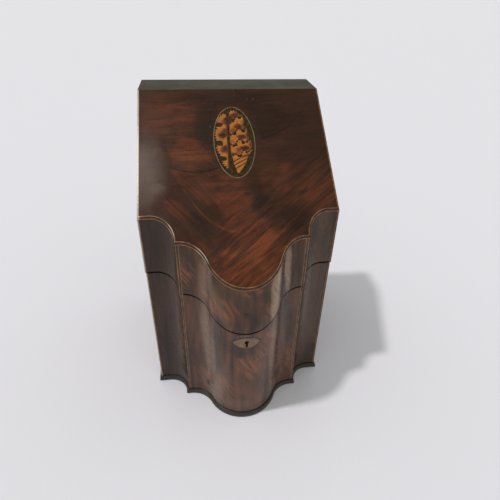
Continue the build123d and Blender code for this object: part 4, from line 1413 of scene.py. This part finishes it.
@dataclass
class BaseMoulding:
    """The moulding round the foot: a nose, a quirk and a narrow fillet, mitred at the four corners."""

    back_of: float = -0.05
    steps: int = 40
    profile: tuple[Point, ...] = (
        (1.05, 7.5), (1.25, 7.38), (1.3, 7.1), (1.3, 6.2), (1.22, 5.9), (1.05, 5.7), (1.15, 5.5), (1.5, 5.35),
        (1.95, 4.95), (2.3, 4.3), (2.47, 3.6), (2.5, 2.8), (2.44, 1.7), (2.3, 0.8), (2.1, 0.2), (1.95, 0.0),
    )

    def build(self) -> None:
        """Makes the five lengths, closed at their mitres."""
        section = [(self.back_of, self.profile[0][1]), *self.profile, (self.back_of, 0.0)]
        rings = [[Vector((x, y, z)) * MM for x, y in SHAPE.ring(grow, self.steps)] for grow, z in section]
        last = len(rings[0]) - 1
        inner = 3 + self.steps
        lengths = {
            "side_right": (0, 1),
            "cove_right": (1, inner),
            "front": (inner, last - inner),
            "cove_left": (last - inner, last - 1),
            "side_left": (last - 1, last),
        }
        for name, (first, final) in lengths.items():
            node = f"base_moulding_{name}"
            work = skinned([[ring[first : final + 1] for ring in rings]])
            smoothed(f"{node}_run", work, [Finishes.moulding], [node])


# Patera


@dataclass(frozen=True)
class Bite:
    """A round notch in a toothed edge, at a share of its length."""

    share: float
    radius: float
    stretch: float = 1.3


@dataclass(frozen=True)
class Edge:
    """One edge of a piece of inlay: a smooth line through points, with or without teeth."""

    points: tuple[Point, ...]
    depth: float = 0.0
    pitch: float = 2.2
    bites: tuple[Bite, ...] = ()
    spacing: float = 0.16

    def line(self) -> list[Vector]:
        """A smooth line through the points, evenly divided.

        Returns:
            Its points, in millimetres.
        """
        spots = [Vector((*point, 0)) for point in self.points]
        spots = [2 * spots[0] - spots[1], *spots, 2 * spots[-1] - spots[-2]]
        dense = []
        for before, start, end, after in zip(spots, spots[1:], spots[2:], spots[3:]):
            square, cube = 2 * before - 5 * start + 4 * end - after, 3 * start - before - 3 * end + after
            count = max(2, int((end - start).length / self.spacing))
            for t in (n / count for n in range(count)):
                dense.append((2 * start + (end - before) * t + square * t * t + cube * t**3) / 2)
        return [*dense, spots[-2]]

    def cut(self) -> list[Vector]:
        """The line with its teeth and notches, which are cut to the right of its direction.

        Returns:
            Its points, in millimetres.
        """
        line = self.line()
        if not self.depth:
            return line
        lengths = [0.0]
        for start, end in zip(line, line[1:]):
            lengths.append(lengths[-1] + (end - start).length)
        total = lengths[-1]
        teeth = max(1, round(total / self.pitch))
        pitch = total / teeth
        cut = []
        for number, (spot, run) in enumerate(zip(line, lengths)):
            ahead = (line[min(number + 1, len(line) - 1)] - line[max(number - 1, 0)]).normalized()
            tooth, rest = divmod(run, pitch)
            size = self.depth * (0.88 + 0.12 * math.sin(7.1 * tooth + 1.3))
            deep = math.sqrt(max(0.0, size**2 - (rest - pitch / 2) ** 2)) * 1.5
            for bite in self.bites:
                off = abs(run - bite.share * total)
                if off < bite.radius:
                    deep = max(deep, math.sqrt(bite.radius**2 - off**2) * bite.stretch)
            cut.append(spot + Vector((ahead.y, -ahead.x, 0)) * deep)
        return cut


@dataclass
class Patera:
    """The oval in the slope: its line, its ground, and the shell cut from scorched satinwood."""

    half_width: float = 24.4
    half_length: float = 49.2
    line: float = 0.9
    gap: float = 1.45
    thickness: float = 0.5
    proud: float = 0.05
    steps: int = 144

    def build(self) -> None:
        """Makes the ground and the shell, and finishes the line."""
        dress("patera_line", Finishes.oval_line)
        turns = [2 * math.pi * n / self.steps for n in range(self.steps)]
        across, along = self.half_width - self.line, self.half_length - self.line
        oval = [Vector((across * math.cos(turn), along * math.sin(turn), 0)) for turn in turns]
        ground, shell = bmesh.new(), bmesh.new()
        self.plate(ground, oval, -2 * self.thickness, 0.0)
        smoothed("patera_ground_oval", ground, [Finishes.ground], ["patera_ground"])
        for outline in self.outlines():
            self.plate(shell, outline, -self.thickness, self.proud)
        smoothed("patera_shell_pieces", shell, [Finishes.satinwood], ["patera_shell"])

    @staticmethod
    def plate(work: bmesh.types.BMesh, outline: Sequence[Vector], low: float, high: float) -> None:
        """Adds one flat piece with this outline, between two heights over the slope.

        Args:
            work: The geometry that it is added to.
            outline: Its outline about the oval's middle, across and up the slope.
            low: Its underside.
            high: Its face.
        """
        layers = [
            [work.verts.new(SHAPE.slope_point(spot.x, PATERA_DOWN - spot.y, lift)) for spot in outline]
            for lift in (low, high)
        ]
        area = sum(a.x * b.y - b.x * a.y for a, b in zip(outline, [*outline[1:], outline[0]]))
        if area < 0:
            layers = [layer[::-1] for layer in layers]
        bottom, top = layers
        caps = [work.faces.new(top), work.faces.new(bottom[::-1])]
        for n, start in enumerate(bottom):
            end = (n + 1) % len(bottom)
            work.faces.new((start, bottom[end], top[end], top[n]))
        work.normal_update()
        bmesh.ops.triangulate(work, faces=caps)

    def outlines(self) -> list[list[Vector]]:
        """The outlines of the shell's pieces: the lip, the whorls and the spire.

        Returns:
            The outlines, about the oval's middle.
        """
        shapes = [LIP_OUTER.cut() + LIP_INNER.line()]
        for upper, lower, (right, left) in zip(WHORL_EDGES, WHORL_EDGES[1:], WHORL_FLANKS):
            right, left = Edge((upper.points[-1], *right)).line(), Edge((*left, upper.points[0])).line()
            under = [spot + Vector((0, self.gap, 0)) for spot in Edge(lower.points).line()]
            shapes.append(upper.cut() + right[1:-1] + under[::-1] + left[1:-1])
        return shapes


LIP_OUTER = Edge(
    (
        (-9.6, -39.0), (-12.4, -35.2), (-15.2, -31.2), (-16.4, -27.0), (-16.4, -22.4), (-18.4, -18.0),
        (-21.0, -12.5), (-22.0, -8.2), (-20.6, -4.4), (-19.6, -1.4), (-21.2, 2.8), (-22.2, 8.3),
        (-21.8, 14.4), (-20.2, 19.0), (-19.0, 22.4), (-19.0, 28.0), (-17.2, 33.0), (-13.8, 37.2),
        (-9.6, 40.0), (-4.6, 42.0), (0.6, 44.2), (4.9, 42.6), (8.4, 39.6), (10.8, 36.6),
    ),
    1.3,
    3.75,
    (Bite(0.155, 2.9, 2.0), Bite(0.36, 2.9, 2.2), Bite(0.605, 3.0, 2.4), Bite(0.815, 2.6, 2.0)),
)
LIP_INNER = Edge(
    (
        (10.2, 35.6), (8.0, 35.8), (5.4, 36.0), (3.0, 34.6), (0.8, 31.4), (-2.2, 29.0), (-4.8, 25.0),
        (-6.2, 18.2), (-7.2, 10.4), (-7.8, 2.6), (-7.4, -5.2), (-7.2, -15.6), (-7.6, -26.0), (-8.7, -33.3),
        (-9.2, -38.4),
    )
)
WHORL_EDGES = (
    Edge(
        ((-4.0, 24.6), (-1.8, 28.0), (1.4, 30.4), (3.2, 33.4), (5.6, 35.0), (8.2, 33.8), (10.0, 34.0), (11.8, 36.4)),
        1.35, 3.5, (Bite(0.27, 1.9, 1.6), Bite(0.80, 1.7, 1.5)),
    ),
    Edge(
        (
            (-5.0, 10.0), (-3.2, 9.4), (-0.6, 10.0), (1.6, 12.2), (3.2, 14.8), (5.6, 16.8), (8.0, 17.2),
            (10.4, 15.6), (12.4, 15.2), (14.8, 19.4),
        ),
        1.35, 3.5, (Bite(0.24, 1.9, 1.6), Bite(0.78, 1.9, 1.7)),
    ),
    Edge(
        (
            (-5.4, -3.0), (-3.8, -4.8), (-1.4, -6.0), (0.6, -4.4), (2.5, -1.2), (5.4, 1.8), (8.5, 1.2),
            (11.2, -1.6), (13.4, -2.0), (15.6, 0.2), (18.2, 2.9),
        ),
        1.35, 3.5, (Bite(0.24, 1.9, 1.6), Bite(0.70, 1.9, 1.7)),
    ),
    Edge(
        (
            (-4.6, -18.4), (-1.8, -18.6), (0.6, -17.6), (3.4, -20.0), (5.6, -19.4), (7.6, -15.6), (10.0, -13.0),
            (12.6, -14.6), (14.8, -15.4), (17.0, -13.2), (19.8, -10.6),
        ),
        1.3, 3.4, (Bite(0.36, 1.9, 1.6), Bite(0.74, 1.7, 1.5)),
    ),
    Edge(((-3.0, -28.4), (2.2, -25.4), (7.3, -22.6), (14.6, -19.4))),
    Edge(((-2.0, -32.8), (2.2, -30.4), (6.4, -28.2), (12.7, -24.6))),
    Edge(((-0.6, -37.4), (3.0, -35.0), (7.3, -32.4), (10.6, -30.4))),
    Edge(((0.4, -43.6), (0.8, -44.1), (1.2, -44.0), (1.6, -43.4))),
)
WHORL_FLANKS = (  # each whorl's right side going down and its left side going up
    (((12.8, 32.0), (13.2, 27.0), (13.0, 22.5), (14.2, 19.9)), ((-5.0, 10.4), (-4.8, 17.6))),
    (((16.2, 15.0), (16.6, 10.0), (16.4, 5.8), (17.8, 3.4)), ((-5.4, -2.6), (-5.4, 3.2))),
    (((19.8, -1.8), (20.0, -6.4), (19.4, -10.1)), ((-4.6, -18.0), (-5.2, -11.4))),
    (((18.2, -15.0), (15.0, -18.8)), ((-3.0, -28.0), (-3.2, -24.0))),
    (((13.8, -21.8), (12.9, -24.2)), ((-2.0, -32.4), (-2.6, -30.5))),
    (((11.8, -27.4), (10.9, -29.9)), ((-0.6, -37.0), (-1.4, -35.0))),
    (((6.8, -36.4), (1.8, -43.2)), ((0.4, -43.4), (-0.1, -40.4))),
)


# Escutcheon and screws


@dataclass
class Escutcheon:
    """The pointed oval round the keyhole, its border, and the two pins that hold it."""

    pin_across: float = 14.6
    middle_z: float = 135.9
    pin_radius: float = 0.75
    pin_rise: float = 0.22

    def build(self) -> None:
        """Finishes both plates and sets the pins."""
        Easing(0.2, 2).piece("escutcheon", Finishes.bone)
        Easing(0.2, 2).piece("escutcheon_border", Finishes.border)
        pattern = Pattern("domed_pin", {"Radius": self.pin_radius, "Rise": self.pin_rise})
        radius, rise = pattern.size("Radius"), pattern.size("Rise")
        ball = pattern.node("GeometryNodeMeshUVSphere", inputs={"Segments": 24, "Rings": 12, "Radius": 1.0})
        size = pattern.vector(radius, radius, rise)
        pattern.close(pattern.node("GeometryNodeTransform", inputs={"Geometry": ball, "Scale": size}))
        places, facings = [], []
        for side in SIDES:
            x = side * self.pin_across
            y = SHAPE.front_y_at(x)
            places.append(Vector((x, y, self.middle_z)) * MM)
            facings.append(Vector((x, y - SHAPE.bow_y, 0)).normalized())
        mesh = pattern.grow("escutcheon_pins", places, facings, Finishes.steel)
        new_piece("escutcheon_pins", mesh, [], like="escutcheon")


@dataclass
class Screws:
    """Slotted countersunk screws in the hinges, the lock and its link plate."""

    head_radius: float = 2.0
    shank_radius: float = 1.0
    length: float = 5.0
    head_depth: float = 1.15
    slot_width: float = 0.55
    slot_depth: float = 0.5
    hinge_x: float = 60.0
    hinge_pitch: float = 13.0
    hinge_row_y: float = 125.086
    leaf_lift: float = -0.1
    lock_row_y: float = -116.42
    wood_lift: float = -0.173
    strip_x: float = 21.4
    cap_x: float = 21.0
    cap_place: Point = (-111.4, 141.98)
    link_x: float = 16.0

    def build(self) -> None:
        """Sets out all four groups."""
        pattern = self.pattern()
        up = Vector((0, -math.sin(SHAPE.seam_angle), math.cos(SHAPE.seam_angle)))
        hinge_xs = [side * self.hinge_x + n * self.hinge_pitch for side in SIDES for n in (-1, 0, 1)]
        cap = [(Vector((side * self.cap_x, *self.cap_place)) * MM, Vector((0, 1, 0))) for side in SIDES]
        groups = {
            "hinge_screws_case": self.row(hinge_xs, self.hinge_row_y, up, self.leaf_lift),
            "hinge_screws_lid": self.row(hinge_xs, self.hinge_row_y, -up, self.leaf_lift),
            "lock_screws": self.row((-self.strip_x, self.strip_x), self.lock_row_y, up, self.wood_lift) + cap,
            "link_screws": self.row((-self.link_x, self.link_x), self.lock_row_y, -up, self.wood_lift),
        }
        for node, spots in groups.items():
            finish = Finishes.screw_brass if "hinge" in node else Finishes.steel
            places, facings = zip(*spots)
            new_piece(f"{node}_slotted", pattern.grow(f"{node}_slotted", places, facings, finish), [node])

    @staticmethod
    def row(xs: Iterable[float], y: float, facing: Vector, lift: float) -> list[tuple[Vector, Vector]]:
        """The places of a row of heads along the seam, with the way that they face."""
        return [(Vector((x, y, SHAPE.seam_z(y))) * MM + facing * lift * MM, facing) for x in xs]

    def pattern(self) -> Pattern:
        """The tree that cuts a screw and sets it out.

        Returns:
            The tree.
        """
        names = ("head_radius", "shank_radius", "length", "head_depth", "slot_width", "slot_depth")
        pattern = Pattern("slotted_screw", {name.replace("_", " ").title(): getattr(self, name) for name in names})
        head, length = pattern.size("Head Radius"), pattern.size("Length")
        sizes = {"Vertices": 32, "Side Segments": 2, "Radius": head, "Depth": length}
        rod = pattern.node("GeometryNodeMeshCylinder", inputs=sizes)
        x, y, z = pattern.split(pattern.node("GeometryNodeInputPosition"))
        top = pattern.node("ShaderNodeMath", {"operation": "GREATER_THAN"}, {0: z / length, 1: 0.25})
        foot = pattern.node("ShaderNodeMath", {"operation": "LESS_THAN"}, {0: z / length, 1: -0.25})
        middle = 1 - top - foot
        draw = top + (1 - top) * (pattern.size("Shank Radius") / head)
        drop = middle * pattern.size("Head Depth") + foot * length
        place = pattern.vector(x * draw, y * draw, 0 - drop)
        shaped = pattern.node("GeometryNodeSetPosition", inputs={"Geometry": rod, "Position": place})
        slot_size = pattern.vector(head * 2.4, pattern.size("Slot Width"), pattern.size("Slot Depth") * 2)
        cutter = pattern.node("GeometryNodeMeshCube", inputs={"Size": slot_size})
        solids = {"Mesh 1": shaped, "Mesh 2": cutter}
        pattern.close(pattern.node("GeometryNodeMeshBoolean", {"operation": "DIFFERENCE"}, solids), spun=True)
        return pattern


# Rack and metalwork


@dataclass
class Rack:
    """The stepped rack for the cutlery, with a pale line let in round each slot."""

    back: float = 118.4
    pitch: float = 43.15
    rows: int = 4
    columns: int = 6
    column_pitch: float = 31.667
    drop: float = 22.0
    riser: float = 5.0
    slot: Point = (26.0, 10.0)
    inset: float = 0.7
    line: float = 1.1
    line_depth: float = 0.3
    proud: float = 0.04

    def build(self) -> None:
        """Finishes the rack and lets in the lines."""
        for row in range(1, self.rows + 1):
            dress(f"rack_riser_{row}", Finishes.rack)
            Easing(0.35, 2).piece(f"rack_tier_{row}", Finishes.rack)
        Easing(0.35, 2).piece("rack_tier_bow", Finishes.rack)
        dress("rack_bearers", Finishes.carcase)
        across, along = self.slot
        places = []
        for row in range(self.rows):
            front = self.back - (row + 1) * self.pitch
            top = SHAPE.seam_z(front + self.pitch / 2) - self.drop
            for column in range(self.columns):
                x = (column - (self.columns - 1) / 2) * self.column_pitch
                places.append(Vector((x, front + (self.riser + self.pitch) / 2, top)) * MM)
        sizes = {"Slot Length": across, "Slot Width": along}
        sizes |= {"Inset": self.inset, "Line": self.line, "Depth": self.line_depth}
        pattern = Pattern("slot_stringing", sizes)
        inset, line, depth = (pattern.size(name) for name in ("Inset", "Line", "Depth"))

        def rectangle(beyond: Signal) -> Signal:
            """A rectangle that stands this far outside the slot.

            Args:
                beyond: How far outside.

            Returns:
                The curve.
            """
            sides = [pattern.size(name) + beyond * 2 for name in ("Slot Length", "Slot Width")]
            inputs = dict(zip(("Width", "Height"), sides))
            return pattern.node("GeometryNodeCurvePrimitiveQuadrilateral", inputs=inputs)

        curves = pattern.joined(rectangle(inset + line), rectangle(inset))
        flat = pattern.node("GeometryNodeFillCurve", inputs={0: curves})
        inputs = {"Mesh": flat, "Offset": pattern.vector(0, 0, 1), "Offset Scale": depth, "Individual": False}
        raised = pattern.node("GeometryNodeExtrudeMesh", inputs=inputs)
        both = pattern.joined(raised, pattern.node("GeometryNodeFlipFaces", inputs={0: flat}))
        welded = pattern.node("GeometryNodeMergeByDistance", inputs={0: both, "Distance": 1e-6})
        inputs = {"Geometry": welded, "Translation": pattern.vector(0, 0, self.proud * MM - depth)}
        pattern.close(pattern.node("GeometryNodeTransform", inputs=inputs))
        mesh = pattern.grow("slot_stringing", places, [Vector((0, 0, 1))] * len(places), Finishes.slot_line)
        piece = new_piece("slot_stringing", mesh, [], like="rack_tier_1")


class Metalwork:
    """The hinges, the lock and its link plate."""

    def build(self) -> None:
        """Eases the plates' arrises and finishes the small works."""
        for hand in ("left", "right"):
            for leaf in ("case", "lid"):
                Easing(0.15, 2).piece(f"hinge_{leaf}_leaf_{hand}", Finishes.brass)
            dress(f"hinge_pin_{hand}", Finishes.steel)
        for node in ("lock_case", "lock_cap", "link_plate"):
            Easing(0.12, 2).piece(node, Finishes.lock_brass)
        Easing(0.15, 2).piece("lock_bolt", Finishes.steel)
        for node in ("lock_drill_pin", "lock_spring"):
            dress(node, Finishes.steel)


# Studio


@dataclass
class Studio:
    """The plain pale floor, the soft light and the camera."""

    floor_reach: float = 14.0
    sunlight: float = 1.3
    sun_width: float = math.radians(3.5)
    sun_heading: tuple[float, float, float] = (0.458, 0.054, -1.0)
    room_side: Colour = tint(244, 246, 243)
    room_top: Colour = tint(160, 158, 143)
    floor_paint: Colour = tint(231, 231, 243)
    sun_colour: Colour = tint(255, 252, 246)
    camera_place: Triple = (-0.045, -0.448, 0.480)
    focal_share: float = 406 / 500  # focal length as a share of the picture's side
    sensor: float = 36.0

    def build(self) -> None:
        """Makes them all."""
        self.floor()
        self.lamp()
        self.room()
        self.camera()

    def floor(self) -> None:
        """A pale matt table top, larger than any view."""
        mesh = bpy.data.meshes.new("floor")
        reach = self.floor_reach
        corners = [(x * reach, y * reach, 0) for x, y in ((-1, -1), (1, -1), (1, 1), (-1, 1))]
        mesh.from_pydata(corners, [], [(0, 1, 2, 3)])
        floor = put("floor", mesh)
        material = bpy.data.materials.new("floor_paint")
        material.use_nodes = True
        shader = material.node_tree.nodes["Principled BSDF"]
        shader.inputs["Base Color"].default_value = (*self.floor_paint, 1)
        shader.inputs["Roughness"].default_value = 0.7
        shader.inputs["Specular IOR Level"].default_value = 0.2
        mesh.materials.append(material)

    def lamp(self) -> None:
        """Soft light from the upper left, which falls evenly over the whole floor."""
        light = bpy.data.lights.new("key_light", "SUN")
        light.energy, light.angle = self.sunlight, self.sun_width
        light.color = self.sun_colour
        lamp = put("key_light", light)
        lamp.location = (-1, 0, 2)
        lamp.rotation_euler = Vector(self.sun_heading).to_track_quat("-Z", "Y").to_euler()

    def room(self) -> None:
        """A plain room, dimmer overhead."""
        world = bpy.data.worlds.new("room")
        bpy.context.scene.world = world
        world.use_nodes = True
        world.node_tree.nodes.clear()
        paint = Paint(world.node_tree)
        height = paint.split(paint.node("ShaderNodeTexCoord", output="Generated"))[2]
        colour = paint.mix(height.fit(0.35, 0.95), self.room_side, self.room_top)
        light = paint.node("ShaderNodeBackground", inputs={"Color": colour, "Strength": 1.0})
        paint.node("ShaderNodeOutputWorld", inputs={"Surface": light})

    def camera(self) -> None:
        """The camera of the reference picture, from its measured place, aim and focal length."""
        yaw, pitch, roll = math.radians(8.27), math.radians(34.33), math.radians(1.56)
        ahead = Vector((math.sin(yaw) * math.cos(pitch), math.cos(yaw) * math.cos(pitch), -math.sin(pitch)))
        right = Vector((math.cos(yaw), -math.sin(yaw), 0))
        up = right.cross(ahead)
        side = math.cos(roll) * right + math.sin(roll) * up
        top = math.cos(roll) * up - math.sin(roll) * right
        data = bpy.data.cameras.new("camera")
        data.sensor_width = self.sensor
        data.lens = self.focal_share * self.sensor
        data.clip_start = 0.01
        camera = put("camera", data)
        turn = Matrix((side, top, -ahead)).transposed().to_4x4()
        camera.matrix_world = Matrix.Translation(self.camera_place) @ turn
        bpy.context.scene.camera = camera
        bpy.context.scene.view_settings.view_transform = "Standard"


def main() -> None:
    """Builds every part of the picture in order."""
    logging.basicConfig(level=logging.INFO, format="%(message)s")
    for name, node in frame["nodes"].items():
        node.data.materials[0].name.split(".")[0]
    assemblies = (Studio, Carcase, Stringings, BaseMoulding, Patera, Escutcheon, Rack, Metalwork, Screws)
    for assembly in assemblies:
        assembly().build()


if __name__ == "__main__":
    main()
